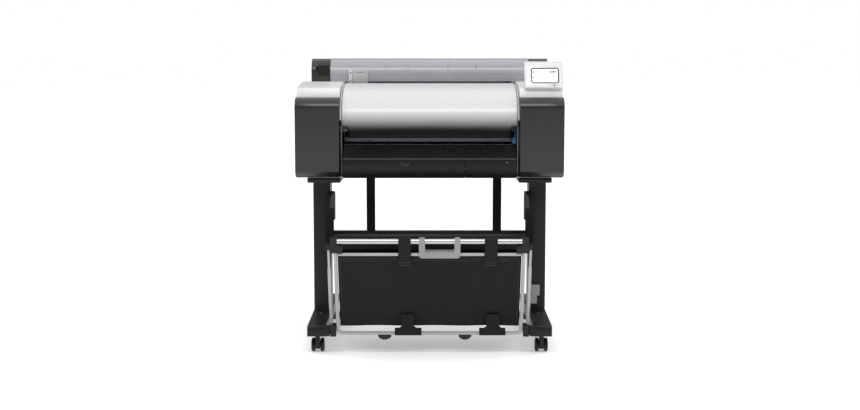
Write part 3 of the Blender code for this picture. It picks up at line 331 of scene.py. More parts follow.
# %% Finish the CAD solids
for node, thing in frame["nodes"].items():
    finish = FINISH[SLOT_OF[node]]
    if thing.material_slots:
        thing.material_slots[0].material = finish
    else:
        thing.data.materials.append(finish)


def settle(piece, body, slot, *nodes):
    """Hang a finished piece on its body and hide the solids it stands for. The slot is not used."""
    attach(piece, body)
    if nodes:
        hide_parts(*nodes)


def smooth_by_angle(mesh, degrees):
    mesh.shade_smooth()
    mesh.set_sharp_from_angle(angle=math.radians(degrees))


def welded_copy(node, finish, degrees=32.0):
    """A smooth shaded copy of a CAD solid, with its doubled points merged."""
    mesh = frame["nodes"][node].data.copy()
    form = bmesh.new()
    form.from_mesh(mesh)
    bmesh.ops.remove_doubles(form, verts=form.verts, dist=0.00002)
    bmesh.ops.dissolve_limit(form, angle_limit=math.radians(0.5), verts=form.verts, edges=form.edges)
    form.to_mesh(mesh)
    form.free()
    smooth_by_angle(mesh, degrees)
    mesh.materials.clear()
    mesh.materials.append(finish)
    copy = bpy.data.objects.new(node + "_surface", mesh)
    scene.collection.objects.link(copy)
    settle(copy, BODY_OF[node], SLOT_OF[node], node)
    return copy


REMADE = {"top_cover", "basket_cloth_front", "basket_cloth_rear"}
OWN_FINISH = {"ink_tank_cover": "door_plastic", "maintenance_cover": "door_plastic",
              "left_side_arm": "arm_plastic", "right_side_arm": "arm_plastic"}
copied = [node for node in BODY_OF if node not in REMADE]
for node in copied:
    welded_copy(node, FINISH[OWN_FINISH.get(node, SLOT_OF[node])])
print("copied", len(copied), "solids with smooth shading")

# %% [markdown]
# ## Shells drawn along the machine
# The lid and the roll cover are single curved walls. Their section is a smooth path in
# depth and height, and the wall is drawn along the machine from end to end. Near each
# end the section shrinks a little on a quarter round, as a moulded edge does.

# %% Shell helpers
def curve_points(first, second, third, last, count):
    """Points along a cubic Bezier curve in Y and Z."""
    points = []
    for step in range(count + 1):
        t = step / count
        s = 1 - t
        points.append(Vector(first) * s ** 3 + Vector(second) * 3 * s * s * t
                      + Vector(third) * 3 * s * t * t + Vector(last) * t ** 3)
    return points


def rounded_stations(half, radius, plain):
    """Stations along X with how far each is drawn in: quarter rounds at both ends."""
    ends = [(half - radius * (1 - math.sin(a)), radius * (1 - math.cos(a)))
            for a in (math.pi / 2 * k / 5 for k in range(6))]
    right = list(plain) + ends
    return [(-x, inset) for x, inset in reversed(right)] + right


def shell(name, path, stations, wall, finish, skip=None):
    """A curved wall from an outer path that runs forward and then down, thickened inward."""
    normals = []
    for index in range(len(path)):
        along = path[min(index + 1, len(path) - 1)] - path[max(index - 1, 0)]
        normals.append(Vector((along.y, -along.x)).normalized())
    mesh = bpy.data.meshes.new(name)
    form = bmesh.new()
    rows = [[form.verts.new((x, *(point - normal * inset))) for point, normal in zip(path, normals)]
            for x, inset in stations]
    for a in range(len(rows) - 1):
        for b in range(len(path) - 1):
            if skip and skip((stations[a][0] + stations[a + 1][0]) / 2, (path[b] + path[b + 1]) / 2):
                continue
            form.faces.new((rows[a][b], rows[a][b + 1], rows[a + 1][b + 1], rows[a + 1][b]))
    loose = [vert for vert in form.verts if not vert.link_faces]
    bmesh.ops.delete(form, geom=loose, context="VERTS")
    form.to_mesh(mesh)
    form.free()
    smooth_by_angle(mesh, 40)
    mesh.materials.append(finish)
    piece = bpy.data.objects.new(name, mesh)
    scene.collection.objects.link(piece)
    thick = piece.modifiers.new("wall", "SOLIDIFY")
    thick.thickness = wall
    thick.offset = -1.0
    thick.use_even_offset = True
    return piece


# %% [markdown]
# ## The lid
# The lid covers the carriage. It falls in one curve from its hinge to the front, turns
# under in a chin, and its lower corners are notched so that a finger reaches the lever.

# %% Lid
crown = LID_HIGH.z
waist = crown - 0.122
lid_path = curve_points((LID_HIGH.y, crown), (LID_HIGH.y - 0.1095, crown - 0.002),
                        (LID_LOW.y, crown - 0.039), (LID_LOW.y, waist), 30)
lid_path += curve_points((LID_LOW.y, waist), (LID_LOW.y, waist - 0.030), (LID_LOW.y + 0.0195, waist - 0.057),
                         (LID_LOW.y + 0.0435, waist - 0.0767), 16)[1:]
NOTCH_X = LID_HIGH.x - 0.018
NOTCH_Z = waist - 0.034


def in_notch(x, point):
    return abs(x) > NOTCH_X and point.y < NOTCH_Z


lid_stations = rounded_stations(LID_HIGH.x, 0.003, [(0.10, 0), (0.20, 0), (0.29, 0), (NOTCH_X, 0)])
lid = shell("lid_shell", lid_path, lid_stations, 0.0028, lid_chin_shaded_finish, in_notch)
settle(lid, "top_cover", "white_plastic", "top_cover")
print("lid", [round(side, 4) for side in lid.dimensions])

# %% [markdown]
# ## Small parts in plain mesh
# Ribs, plates and marks are small boxes with softened edges. One helper makes them, and
# another turns a profile into a round piece.

# %% Box and turned piece helpers
def join_rings(form, rings):
    """Four sided faces between each ring of points and the next, all the way round."""
    for low, high in zip(rings, rings[1:]):
        count = len(low)
        for k in range(count):
            form.faces.new((low[k], low[(k + 1) % count], high[(k + 1) % count], high[k]))


def closed_piece(name, form, finish):
    """Turn a closed bmesh into a smooth shaded object, with its faces outwards."""
    bmesh.ops.recalc_face_normals(form, faces=form.faces)
    mesh = bpy.data.meshes.new(name)
    form.to_mesh(mesh)
    form.free()
    smooth_by_angle(mesh, 35)
    mesh.materials.append(finish)
    piece = bpy.data.objects.new(name, mesh)
    scene.collection.objects.link(piece)
    return piece


def block(name, low, high, finish, soft=0.0006):
    """A box between two corners, with softened edges."""
    form = bmesh.new()
    bmesh.ops.create_cube(form, size=1.0)
    size = Vector(high) - Vector(low)
    for vert in form.verts:
        vert.co = Vector(low) + Vector([(vert.co[k] + 0.5) * size[k] for k in range(3)])
    if soft:
        bmesh.ops.bevel(form, geom=form.edges[:], offset=min(soft, min(size) * 0.45), segments=3,
                        profile=0.5, affect="EDGES")
    return closed_piece(name, form, finish)


def lathe(name, profile, centre, axis, finish, count=48):
    """A round piece about an axis, from a profile of distance along it and radius."""
    spin = Vector(axis).to_track_quat("Z", "X").to_matrix()
    turns = [math.tau * k / count for k in range(count)]
    form = bmesh.new()
    rings = []
    for along, radius in profile:
        ring = [Vector((radius * math.cos(a), radius * math.sin(a), along)) for a in turns]
        rings.append([form.verts.new(Vector(centre) + spin @ spot) for spot in ring])
    join_rings(form, rings)
    form.faces.new(rings[0][::-1])
    form.faces.new(rings[-1])
    return closed_piece(name, form, finish)


# %% [markdown]
# ## Casters
# Each caster wheel has a hub cap on both outer faces, with a shallow ring moulded in it
# and a steel axle end in the middle.

# %% Caster hubs
for node in [node for node in BODY_OF if node.endswith("_wheels")]:
    low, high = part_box(node)
    middle = (low + high) / 2
    radius = (high.z - low.z) / 2
    for side in (-1, 1):
        face = middle.x + side * (high.x - low.x) / 2
        rim = [(-0.0012, radius * 0.80), (-0.0002, radius * 0.78), (-0.0002, radius * 0.66),
               (-0.0008, radius * 0.62), (-0.0008, radius * 0.30), (-0.0002, radius * 0.27),
               (-0.0002, radius * 0.16)]
        hub = lathe(node + "_hub", rim, (face, middle.y, middle.z), (side, 0, 0), FINISH["grey_plastic"])
        settle(hub, BODY_OF[node], "grey_plastic")

# %% [markdown]
# ## Behind the roll cover
# The smoked cover has a front flange, two creases along it and four stiffening ribs. A
# pale plate with a paper width scale stands at the left of the roll.

# %% Roll cover details
COVER_LOW, COVER_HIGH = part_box("roll_cover")
ROLL_LOW, ROLL_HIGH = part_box("paper_roll")
cover_front = COVER_LOW.y
for index, height in enumerate((0.9715 + 0.014, COVER_HIGH.z - 0.030)):
    crease = block("cover_crease_%d" % index, (COVER_LOW.x + 0.008, cover_front + 0.0006, height),
                   (COVER_HIGH.x - 0.008, cover_front + 0.0030, height + 0.0016),
                   FINISH["trim_light"], 0.0004)
    settle(crease, "roll_cover", "smoked_plastic")
for index, along in enumerate((-0.170, -0.084, 0.072, 0.181)):
    rib = block("cover_rib_%d" % index, (along - 0.0011, cover_front + 0.0032, ROLL_LOW.z + 0.058),
                (along + 0.0011, cover_front + 0.0075, COVER_HIGH.z - 0.012), FINISH["trim_light"], 0.0004)
    settle(rib, "roll_cover", "smoked_plastic")
gauge = block("width_gauge", (-0.3005, 0.1935, 0.9560), (-0.2405, 0.1952, 1.0165), FINISH["trim_light"])
settle(gauge, "machine", "grey_plastic")
gauge_edge = block("width_gauge_edge", (-0.3150, 0.1925, 0.9560), (-0.3015, 0.1952, 1.0165),
                   FINISH["white_plastic"])
settle(gauge_edge, "machine", "white_plastic")
for index, height in enumerate((0.972, 1.003)):
    dot = lathe("gauge_stud_%d" % index, [(0.0, 0.0030), (0.0007, 0.0030), (0.0012, 0.0024)],
                (-0.3080, 0.1925, height), (0, -1, 0), FINISH["trim_dark"], 24)
    settle(dot, "machine", "grey_plastic")
slot_mark = block("gauge_window", (-0.2830, 0.1930, 1.0045), (-0.2580, 0.1938, 1.0065),
                  FINISH["trim_dark"], 0.0003)
settle(slot_mark, "machine", "grey_plastic")

# %% [markdown]
# ## Repeated small things
# A Geometry Nodes group lays small pieces along a line: it turns the line's edges to a
# curve, marks it off at a set spacing, puts one piece on each mark and turns it along the
# line. Stitches, ribs, vents and screw heads all come from it. Each row is turned to plain
# mesh at once.

# %% Row generator
def row_group(name, turned_piece):
    """A node group that repeats a cube or a cylinder along the edges of a line."""
    group = bpy.data.node_groups.new(name, "GeometryNodeTree")
    face = group.interface
    face.new_socket("Line", in_out="INPUT", socket_type="NodeSocketGeometry")
    for label, kind, value in (("Spacing", "NodeSocketFloat", 0.004),
                               ("Size", "NodeSocketVector", (0.002,) * 3),
                               ("Material", "NodeSocketMaterial", None)):
        socket = face.new_socket(label, in_out="INPUT", socket_type=kind)
        if value is not None:
            socket.default_value = value
    face.new_socket("Pieces", in_out="OUTPUT", socket_type="NodeSocketGeometry")
    start = put(group, "NodeGroupInput")
    curve = put(group, "GeometryNodeMeshToCurve", {}, {"Mesh": start.outputs["Line"]})
    marks = put(group, "GeometryNodeResampleCurve", {"mode": "LENGTH"}, {"Curve": curve.outputs["Curve"],
                "Length": start.outputs["Spacing"]})
    if turned_piece:
        unit = put(group, "GeometryNodeMeshCylinder", {}, {"Vertices": 24, "Radius": 0.5, "Depth": 1.0})
    else:
        unit = put(group, "GeometryNodeMeshCube", {}, {"Size": (1.0, 1.0, 1.0)})
    tangent = put(group, "GeometryNodeInputTangent")
    turn = put(group, "FunctionNodeAlignEulerToVector", {"axis": "X"}, {"Vector": tangent.outputs["Tangent"]})
    laid = put(group, "GeometryNodeInstanceOnPoints", {}, {"Points": marks.outputs["Curve"],
               "Instance": unit.outputs["Mesh"], "Rotation": turn.outputs["Rotation"],
               "Scale": start.outputs["Size"]})
    real = put(group, "GeometryNodeRealizeInstances", {}, {"Geometry": laid.outputs["Instances"]})
    done = put(group, "GeometryNodeSetMaterial", {}, {"Geometry": real.outputs["Geometry"],
               "Material": start.outputs["Material"]})
    end = put(group, "NodeGroupOutput")
    group.links.new(done.outputs["Geometry"], end.inputs["Pieces"])
    return group


BAR_ROW = row_group("row of bars", False)
DISC_ROW = row_group("row of discs", True)


def row(name, points, group, spacing, size, finish, body, slot, place=Matrix()):
    """Pieces along a polyline, turned to their place, as plain mesh on a body."""
    line = bpy.data.meshes.new(name + "_line")
    line.from_pydata([tuple(p) for p in points], [(k, k + 1) for k in range(len(points) - 1)], [])
    guide = bpy.data.objects.new(name + "_line", line)
    scene.collection.objects.link(guide)
    maker = guide.modifiers.new("row", "NODES")
    maker.node_group = group
    sockets = {item.name: item.identifier for item in group.interface.items_tree}
    maker[sockets["Spacing"]] = spacing
    maker[sockets["Size"]] = size
    maker[sockets["Material"]] = finish
    bpy.context.view_layer.update()
    ready = guide.evaluated_get(bpy.context.evaluated_depsgraph_get())
    mesh = bpy.data.meshes.new_from_object(ready)
    bpy.data.objects.remove(guide)
    mesh.transform(place)
    smooth_by_angle(mesh, 30)
    piece = bpy.data.objects.new(name, mesh)
    scene.collection.objects.link(piece)
    settle(piece, body, slot)
    return piece


# %% [markdown]
# ## The basket cloth
# One length of cloth makes the basket. It hangs from the cross rod at the front, turns
# under behind the bottom bar and climbs back to the cross stay, where two webbing straps
# hold it. The cloth bellies a little between its supports.

# %% Basket cloth
HINGE = Vector((0, -0.3014, 0.085))
LEAN = math.radians(20.5)


def on_basket(u, v):
    """Depth and height of a point given across (u) and up (v) the leaning frame."""
    return Vector((HINGE.y + u * math.cos(LEAN) - v * math.sin(LEAN),
                   HINGE.z + u * math.sin(LEAN) + v * math.cos(LEAN)))


def smooth_path(points, step):
    """A Catmull-Rom curve through points, marked off at an even step."""
    fine = []
    ends = [points[0] * 2 - points[1], *points, points[-1] * 2 - points[-2]]
    for a, b, c, d in zip(ends, ends[1:], ends[2:], ends[3:]):
        for k in range(24):
            t = k / 24
            fine.append((b * 2 + (c - a) * t + (a * 2 - b * 5 + c * 4 - d) * t * t
                         + (b * 3 - a - c * 3 + d) * t ** 3) / 2)
    fine.append(points[-1].copy())
    total = sum((q - p).length for p, q in zip(fine, fine[1:]))
    count = max(2, round(total / step))
    marks, run, index = [fine[0]], 0.0, 0
    for k in range(1, count):
        goal = total * k / count
        while run + (fine[index + 1] - fine[index]).length < goal:
            run += (fine[index + 1] - fine[index]).length
            index += 1
        part = (goal - run) / (fine[index + 1] - fine[index]).length
        marks.append(fine[index].lerp(fine[index + 1], part))
    return marks + [fine[-1]], total


def hung_sheet(name, path, left, right, finish, ripple=None, flare=None, columns=8, thick=0.0012):
    """A sheet of cloth along a path, with a UV map in metres and its own small ripples."""
    mesh = bpy.data.meshes.new(name)
    form = bmesh.new()
    layer = form.loops.layers.uv.new("cloth")
    normals = []
    for index in range(len(path)):
        along = path[min(index + 1, len(path) - 1)] - path[max(index - 1, 0)]
        normals.append(Vector((along.y, -along.x)).normalized())
    run = [0.0]
    for p, q in zip(path, path[1:]):
        run.append(run[-1] + (q - p).length)
    grid = []
    for row_index, (point, normal) in enumerate(zip(path, normals)):
        low, high = flare(run[row_index] / run[-1]) if flare else (left, right)
        line = []
        for k in range(columns + 1):
            x = low + (high - low) * k / columns
            out = ripple(x, run[row_index] / run[-1]) if ripple else 0.0
            spot = point + normal * out
            line.append((form.verts.new((x, spot.x, spot.y)), (x, run[row_index])))
        grid.append(line)
    for a, b in zip(grid, grid[1:]):
        for k in range(columns):
            ring = (a[k], a[k + 1], b[k + 1], b[k])
            face = form.faces.new([corner[0] for corner in ring])
            for loop, corner in zip(face.loops, ring):
                loop[layer].uv = corner[1]
    form.to_mesh(mesh)
    form.free()
    mesh.shade_smooth()
    mesh.materials.append(finish)
    piece = bpy.data.objects.new(name, mesh)
    scene.collection.objects.link(piece)
    wall = piece.modifiers.new("cloth", "SOLIDIFY")
    wall.thickness = thick
    wall.offset = 1.0
    return piece


CLOTH_HALF = 0.3207
cloth_points = [on_basket(0.0020, 0.3066), on_basket(0.004, 0.200), on_basket(0.010, 0.100),
                on_basket(0.014, 0.0376), on_basket(0.0115, 0.0135)]
cloth_points += [Vector(p) for p in ((-0.2634, 0.1005), (-0.200, 0.0975), (-0.100, 0.1405), (-0.030, 0.2205),
                                     (0.036, 0.3005), (0.052, 0.345), (0.052, 0.360))]
cloth_path, cloth_length = smooth_path(cloth_points, 0.006)


def belly(x, along):
    """How far the cloth stands in from its path: slack between supports, and folds from them."""
    across = x / CLOTH_HALF
    slack = 0.0022 * math.sin(math.pi * min(along / 0.40, 1.0)) * (1 - across * across)
    pulled = math.exp(-along * 18) * 0.0013 * math.cos(x * 58 + 0.6)
    folds = 0.0009 * math.sin(x * 31 + 4.0 * along + 1.2 * math.sin(9 * along)) * math.sin(math.pi * along)
    return -(0.0026 + slack * 0.6 + pulled + folds)


def on_cloth(x, along, lift=0.0009):
    """A point just in front of the hung cloth."""
    spot = along * (len(cloth_path) - 1)
    index = min(int(spot), len(cloth_path) - 2)
    point = cloth_path[index].lerp(cloth_path[index + 1], spot - index)
    step = (cloth_path[index + 1] - cloth_path[index]).normalized()
    point = point + Vector((step.y, -step.x)) * (belly(x, along) + lift)
    return x, point.x, point.y


def cloth_edges(along):
    """The cloth is cut a little wider behind the fold than between the side tubes."""
    share = min(max((along - 0.42) / 0.18, 0.0), 1.0)
    half = CLOTH_HALF + CLOTH_FLARE * share * share * (3 - 2 * share)
    return -half, half


CLOTH_FLARE = 0.014
cloth = hung_sheet("basket_cloth", cloth_path, -CLOTH_HALF, CLOTH_HALF, cloth_finish, belly, cloth_edges,
                   columns=120)
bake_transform(cloth)
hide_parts("basket_cloth_front", "basket_cloth_rear")
for side, low in (("left", -0.241), ("right", 0.241)):
    web_points = [Vector((0.0500, 0.362)), Vector((0.0495, 0.490)), Vector((0.0495, 0.6199))]
    web_path, web_length = smooth_path(web_points, 0.01)
    web = hung_sheet(side + "_webbing", web_path, low, low + 0.033, cloth_finish, columns=6, thick=0.0015)
    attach(web, "machine")

# %% [markdown]
# ## Tabs and their stitching
# Two short tabs hold the cloth to the top rod and two flared ones hold it to the bottom
# bar. Each is a strip sewn to the cloth at both ends, with the rod in the loop.

# %% Fabric tabs
def loop_tab(name, uv_points, left, right, finish, flare=None):
    """A strip of cloth around a rod of the basket frame, cut to a share of its rectangle."""
    points = [on_basket(u, v) for u, v in uv_points]
    path, length = smooth_path(points, 0.003)
    tab = hung_sheet(name, path, left, right, finish, flare=flare, columns=10, thick=0.0012)
    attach(tab, "basket")


upper_loop = [(-0.0030, 0.268), (-0.0055, 0.285), (-0.0085, 0.312), (-0.0112, 0.350), (-0.0114, 0.366),
              (-0.0075, 0.3745), (0.0, 0.3772), (0.0080, 0.3740), (0.0112, 0.364), (0.0110, 0.348),
              (0.0095, 0.322), (0.0075, 0.300), (0.0075, 0.288)]
for number, (left, right) in enumerate(((-0.1085, -0.0650), (0.1910, 0.2360))):
    loop_tab("upper_tab_%d" % number, upper_loop, left, right, cloth_finish)
    for height in (0.2715, 0.2835):
        ends = [on_basket(-0.0048 if height < 0.28 else -0.0068, height)] * 2
        line = [(left + 0.003, *ends[0]), (right - 0.003, *ends[1])]
        row("tab_stitch_%d_%d" % (number, round(height * 1e4)), line, BAR_ROW, 0.0034,
            (0.0022, 0.0006, 0.0006), thread_finish, "basket", "basket_fabric")

lower_loop = [(0.0050, 0.066), (0.0030, 0.050), (-0.0020, 0.030), (-0.0070, 0.008), (-0.0082, -0.006),
              (-0.0060, -0.0150), (0.0, -0.0176), (0.0060, -0.0150), (0.0080, -0.006), (0.0085, 0.008)]
for number, (left, right, low_left, low_right) in enumerate(((-0.101, -0.055, -0.125, -0.029),
                                                             (0.203, 0.250, 0.178, 0.272))):
    def flare(along, a=left, b=right, c=low_left, d=low_right):
        share = min(max((along - 0.36) / 0.17, 0.0), 1.0)
        share = share * share * (3 - 2 * share)
        return a + (c - a) * share, b + (d - b) * share
    loop_tab("lower_tab_%d" % number, lower_loop, low_left, low_right, cloth_finish,
             flare)

# %% [markdown]
# ## Hems
# The cloth's top edge and both sides are turned in and sewn with a double row.

# %% Hem stitches
HEM_STEP = 0.0042
for number, along in enumerate((0.016, 0.027)):
    line = [on_cloth(-0.316 + 0.632 * k / 240, along) for k in range(241)]
    row("hem_stitch_top_%d" % number, line, BAR_ROW, HEM_STEP, (0.0028, 0.0005, 0.0005), thread_finish,
        "basket", "basket_fabric")
for side, word in ((-1, "left"), (1, "right")):
    line = [on_cloth(side * 0.3130, 0.02 + 0.33 * k / 80) for k in range(81)]
    row("hem_stitch_" + word, line, BAR_ROW, HEM_STEP, (0.0028, 0.0005, 0.0005), thread_finish, "basket",
        "basket_fabric")

# %% [markdown]
# ## The control panel's face
# The panel leans back, so its details are drawn flat in its own plane and then turned
# with it: a dark rounded frame round the screen, the buttons shown on the screen, and
# small marks beside the power button.

# %% Panel face
PANEL_PLACE = Matrix.Translation((0.419, -0.0658, 0.980)) @ Matrix.Rotation(math.radians(-25), 4, "X")
in_panel = [PANEL_PLACE.inverted() @ vert.co for vert in frame["nodes"]["touch_screen"].data.vertices]
glass_low = Vector([min(co[k] for co in in_panel) for k in range(3)])
glass_high = Vector([max(co[k] for co in in_panel) for k in range(3)])
GLASS_FACE = glass_low.y


def on_panel(piece, body="control_panel", slot="dark_plastic"):
    """Lean a piece back with the panel and hang it on its body."""
    piece.data.transform(PANEL_PLACE)
    settle(piece, body, slot)


def frame_ring(name, low, high, radius, width, depth, finish):
    """A flat rounded frame in X and Z, with its front at the given depth."""
    form = bmesh.new()
    loops = []
    corners = ((high[0] - radius, high[1] - radius, 0), (low[0] + radius, high[1] - radius, 90),
               (low[0] + radius, low[1] + radius, 180), (high[0] - radius, low[1] + radius, 270))
    for inset, y in ((0.0, depth[1]), (0.0, depth[0]), (width, depth[0]), (width, depth[1])):
        r = max(radius - inset, 0.0002)
        ring = []
        for cx, cz, start in corners:
            for k in range(9):
                a = math.radians(start + 90 * k / 8)
                ring.append(form.verts.new((cx + r * math.cos(a), y, cz + r * math.sin(a))))
        loops.append(ring)
    loops.append(loops[0])
    join_rings(form, loops)
    return closed_piece(name, form, finish)


bezel = frame_ring("screen_bezel", (glass_low.x - 0.0004, glass_low.z - 0.0004),
                   (glass_high.x + 0.0004, glass_high.z + 0.0004), 0.0075, 0.0038,
                   (GLASS_FACE - 0.0006, GLASS_FACE + 0.0012), FINISH["black_plastic"])
on_panel(bezel)
lip = frame_ring("panel_lip", (-0.0640, -0.0395), (0.0640, 0.0555), 0.0090, 0.0008,
                 (-0.0303, -0.0290), FINISH["trim_light"])
on_panel(lip, slot="grey_plastic")
icons = [(-0.036, 0.016, 0.004, 0.009), (-0.020, 0.018, 0.012, 0.0016), (0.026, 0.0175, 0.0065, 0.0080),
         (0.036, 0.0175, 0.0065, 0.0080), (0.045, 0.0175, 0.0045, 0.0080), (-0.036, -0.004, 0.010, 0.0022),
         (-0.024, -0.004, 0.008, 0.0022), (0.004, -0.004, 0.010, 0.0022), (0.016, -0.004, 0.008, 0.0022),
         (0.038, -0.004, 0.010, 0.0022), (-0.030, -0.0185, 0.022, 0.0012), (0.006, -0.0185, 0.022, 0.0012),
         (0.040, -0.0185, 0.020, 0.0012)]
for index, (x, v, width, height) in enumerate(icons):
    icon = block("screen_sign_%d" % index, (x - width / 2, GLASS_FACE - 0.0004, v - height / 2),
                 (x + width / 2, GLASS_FACE + 0.0002, v + height / 2), FINISH["trim_dark"], 0.0001)
    on_panel(icon, "control_panel", "dark_plastic")
for index, x in enumerate((0.018, 0.026, 0.050)):
    lamp = block("panel_lamp_%d" % index, (x - 0.0022, -0.0303, -0.0378), (x + 0.0022, -0.0298, -0.0352),
                 FINISH["trim_light"], 0.0002)
    on_panel(lamp, slot="grey_plastic")

# %% [markdown]
# ## Trims, marks and bumpers
# A pale strip fills the gap between the lid and each housing. The lower front has a
# finger catch over the doors. Two rubber half discs under the basket's bottom bar keep it
# off the floor.

# %% Trims
for side, word in ((-1, "left"), (1, "right")):
    strip_path = [point for point in lid_path if point.y > NOTCH_Z + 0.020]
    low_x, high_x = (-0.3298, -0.3236) if side < 0 else (0.3236, 0.3298)
    strip = shell(word + "_lid_trim", strip_path, [(low_x, 0.0012), (high_x, 0.0012)], 0.0040,
                  FINISH["trim_light"])
    settle(strip, "machine", "white_plastic")

end_low, end_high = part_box("left_roll_end")
pocket = block("roll_end_pocket", (-0.4360, end_low.y - 0.0005, 0.991), (-0.3910, end_low.y + 0.0030, 1.0335),
               FINISH["black_plastic"], 0.0008)
settle(pocket, "machine", "black_plastic")


# %% [markdown]
# ## The lower front
# The guide under the paper slot has fine ribs across it, so that a print slides without
# sticking. A lighter strip along its lip and a pale line along its top are painted
# highlights of its edges. The left door has a curved finger catch, in a lighter slate that
# paints the highlight on its rim, and the right one a pale rating mark. Small star wheels
# hold the print down in the slot.

# %% Guide, doors and slot
GUIDE_LOW, GUIDE_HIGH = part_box("ejection_guide")
DOOR_LOW, DOOR_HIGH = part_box("ink_tank_cover")
rib_foot = Vector((-0.0660, GUIDE_HIGH.z - 0.0030))
rib_head = Vector((-0.1370, GUIDE_LOW.z + 0.0086))
slope = rib_head - rib_foot
rib_length = slope.length
rib_line = [(-0.300, 0, 0), (0.300, 0, 0)]
lie = Matrix.Rotation(math.atan2(-slope.y, -slope.x), 4, "X")
row("guide_ribs", rib_line, BAR_ROW, 0.030, (0.0022, rib_length, 0.0016), FINISH["dark_plastic"], "machine",
    "dark_plastic", Matrix.Translation((0, *((rib_foot + rib_head) / 2))) @ lie)
# painted highlight: a lighter strip where the guide's lower edge catches the light
lip_highlight = block("guide_lip_highlight", (-0.3160, GUIDE_LOW.y - 0.0004, GUIDE_LOW.z + 0.0024),
             (0.3160, GUIDE_LOW.y + 0.0016, GUIDE_LOW.z + 0.0042), FINISH["trim_dark"], 0.0006)
settle(lip_highlight, "machine", "dark_plastic")
# painted highlight: a pale line where the guide's upper edge catches the light
top_edge_highlight = block("guide_top_highlight", (-0.3160, -0.0600, GUIDE_HIGH.z + 0.0001),
                 (0.3160, -0.0584, GUIDE_HIGH.z + 0.0009), FINISH["grey_plastic"], 0.0003)
settle(top_edge_highlight, "machine", "grey_plastic")
holder = block("star_wheel_holder", (-0.3150, -0.0345, GUIDE_HIGH.z + 0.0085),
               (0.3150, -0.0325, GUIDE_HIGH.z + 0.0270), FINISH["holder"], 0.0006)
settle(holder, "machine", "dark_plastic")

# The finger catch is a real ridge; its lighter slate colour is a painted highlight along its rim.
form = bmesh.new()
arc = [math.radians(200 + 140 * k / 24) for k in range(25)]
rings = []
for angle in arc:
    centre = Vector((-0.0901 + 0.0205 * math.cos(angle), DOOR_LOW.y - 0.0002,
                     0.6840 + 0.0150 * math.sin(angle)))
    out = Vector((math.cos(angle), 0, math.sin(angle))) * 0.0011
    depth = Vector((0, 0.0010, 0))
    rings.append([form.verts.new(co) for co in (centre - out - depth * 0.3, centre + out - depth * 0.3,
                                                centre + out + depth, centre - out + depth)])
join_rings(form, rings)
form.faces.new(rings[0])
form.faces.new(rings[-1][::-1])
settle(closed_piece("finger_catch", form, FINISH["trim_dark"]), "ink_tank_cover", "dark_plastic")
mark = block("rating_mark", (0.2815, DOOR_LOW.y - 0.0003, 0.6775), (0.2855, DOOR_LOW.y + 0.0003, 0.6793),
             FINISH["trim_light"], 0.0001)
settle(mark, "maintenance_cover", "white_plastic")

for index, x in enumerate((-0.2270, -0.1513, -0.0757, 0.0, 0.0757, 0.1506, 0.2270)):
    star = lathe("star_wheel_%d" % index, [(-0.0016, 0.0022), (-0.0012, 0.0052), (0.0012, 0.0052),
                 (0.0016, 0.0022)], (x, -0.0440, GUIDE_HIGH.z + 0.0075), (1, 0, 0),
                 FINISH["black_plastic"], 18)
    settle(star, "machine", "black_plastic")

# %% [markdown]
# ## Rubber bumpers
# The bumpers are clipped under the bottom bar and swing with the basket.

# %% Bumpers
for index, (left, right) in enumerate(((-0.185, -0.137), (0.104, 0.150))):
    form = bmesh.new()
    middle, reach = (left + right) / 2, (right - left) / 2
    rings = []
    for depth, shrink in ((-0.0075, 0.92), (-0.0062, 1.0), (0.0062, 1.0), (0.0075, 0.92)):
        ring = []
        for k in range(25):
            angle = math.pi + math.pi * k / 24
            spot = on_basket(depth, -0.0150 + 0.0185 * shrink * math.sin(angle))
            ring.append(form.verts.new((middle + reach * shrink * math.cos(angle), spot.x, spot.y)))
        rings.append(ring)
    join_rings(form, rings)
    form.faces.new(rings[0])
    form.faces.new(rings[-1])
    settle(closed_piece("bumper_%d" % index, form, FINISH["feed_rubber"]), "basket", "feed_rubber")

# %% [markdown]
# ## Fasteners, vents and inlet
# The back cover has cooling slots, a row of screws and a mains inlet with three pins. The
# cooling slots and the screw slots are black bars of painted shade. The feet are bolted to
# the columns from above, and the sockets of the bolts are black discs of painted shade.

# %% Back and feet
rear_low, rear_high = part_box("rear_cover")
BACK = rear_high.y
FACE_BACK = Matrix.Rotation(math.radians(-90), 4, "X")


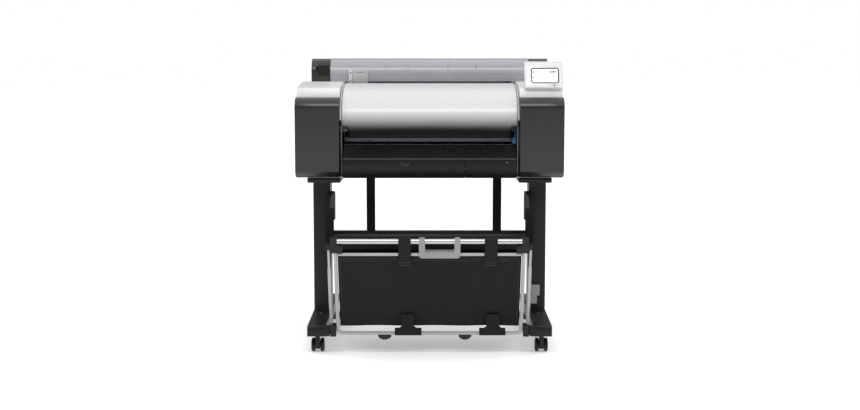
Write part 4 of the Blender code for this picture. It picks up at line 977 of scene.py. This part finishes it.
def on_back(height, lift=0.0):
    return Matrix.Translation((0, BACK + lift, height)) @ FACE_BACK


# painted shade: black bars on the back cover stand for the dark inside of the cooling slots
for level in range(4):
    row("back_vent_shade_%d" % level, [(0.090, 0, 0), (0.318, 0, 0)], BAR_ROW, 0.012, (0.0085, 0.0030, 0.0006),
        FINISH["black_plastic"], "machine", "black_plastic", on_back(0.818 + 0.0085 * level))
SCREW_LINE = [(-0.366, 0, 0), (0.366, 0, 0)]
row("back_screws", SCREW_LINE, DISC_ROW, 0.1464, (0.0064, 0.0064, 0.0016), FINISH["zinc_steel"], "machine",
    "zinc_steel", on_back(0.919))
# painted shade: black bars on the screw heads stand for the dark slots
row("back_screw_slot_shade", SCREW_LINE, BAR_ROW, 0.1464, (0.0042, 0.0009, 0.0004), FINISH["black_plastic"],
    "machine", "black_plastic", on_back(0.919, 0.0008))
for side, word in ((-1, "left"), (1, "right")):
    x = side * 0.4048
    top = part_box(word + "_foot")[1].z
    bolt_line = [(x, -0.100, top - 0.0008), (x, 0.120, top - 0.0008)]
    row(word + "_foot_bolts", bolt_line, DISC_ROW, 0.220, (0.0110, 0.0110, 0.0050), FINISH["zinc_steel"],
        "machine", "zinc_steel")
    # painted shade: black discs on the bolt heads stand for the dark sockets
    row(word + "_foot_socket_shade", [(x, -0.100, top + 0.0017), (x, 0.120, top + 0.0017)], DISC_ROW, 0.220,
        (0.0055, 0.0055, 0.0004), FINISH["black_plastic"], "machine", "black_plastic")
inlet_low, inlet_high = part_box("power_inlet")
inlet_x, inlet_z = (inlet_low.x + inlet_high.x) / 2, (inlet_low.z + inlet_high.z) / 2
for index, (dx, dz) in enumerate(((-0.0060, -0.0020), (0.0060, -0.0020), (0.0, 0.0030))):
    pin = block("inlet_pin_%d" % index, (inlet_x + dx - 0.0010, BACK - 0.0165, inlet_z + dz - 0.0020),
                (inlet_x + dx + 0.0010, BACK - 0.0050, inlet_z + dz + 0.0020), FINISH["bright_steel"], 0.0003)
    settle(pin, "machine", "bright_steel")
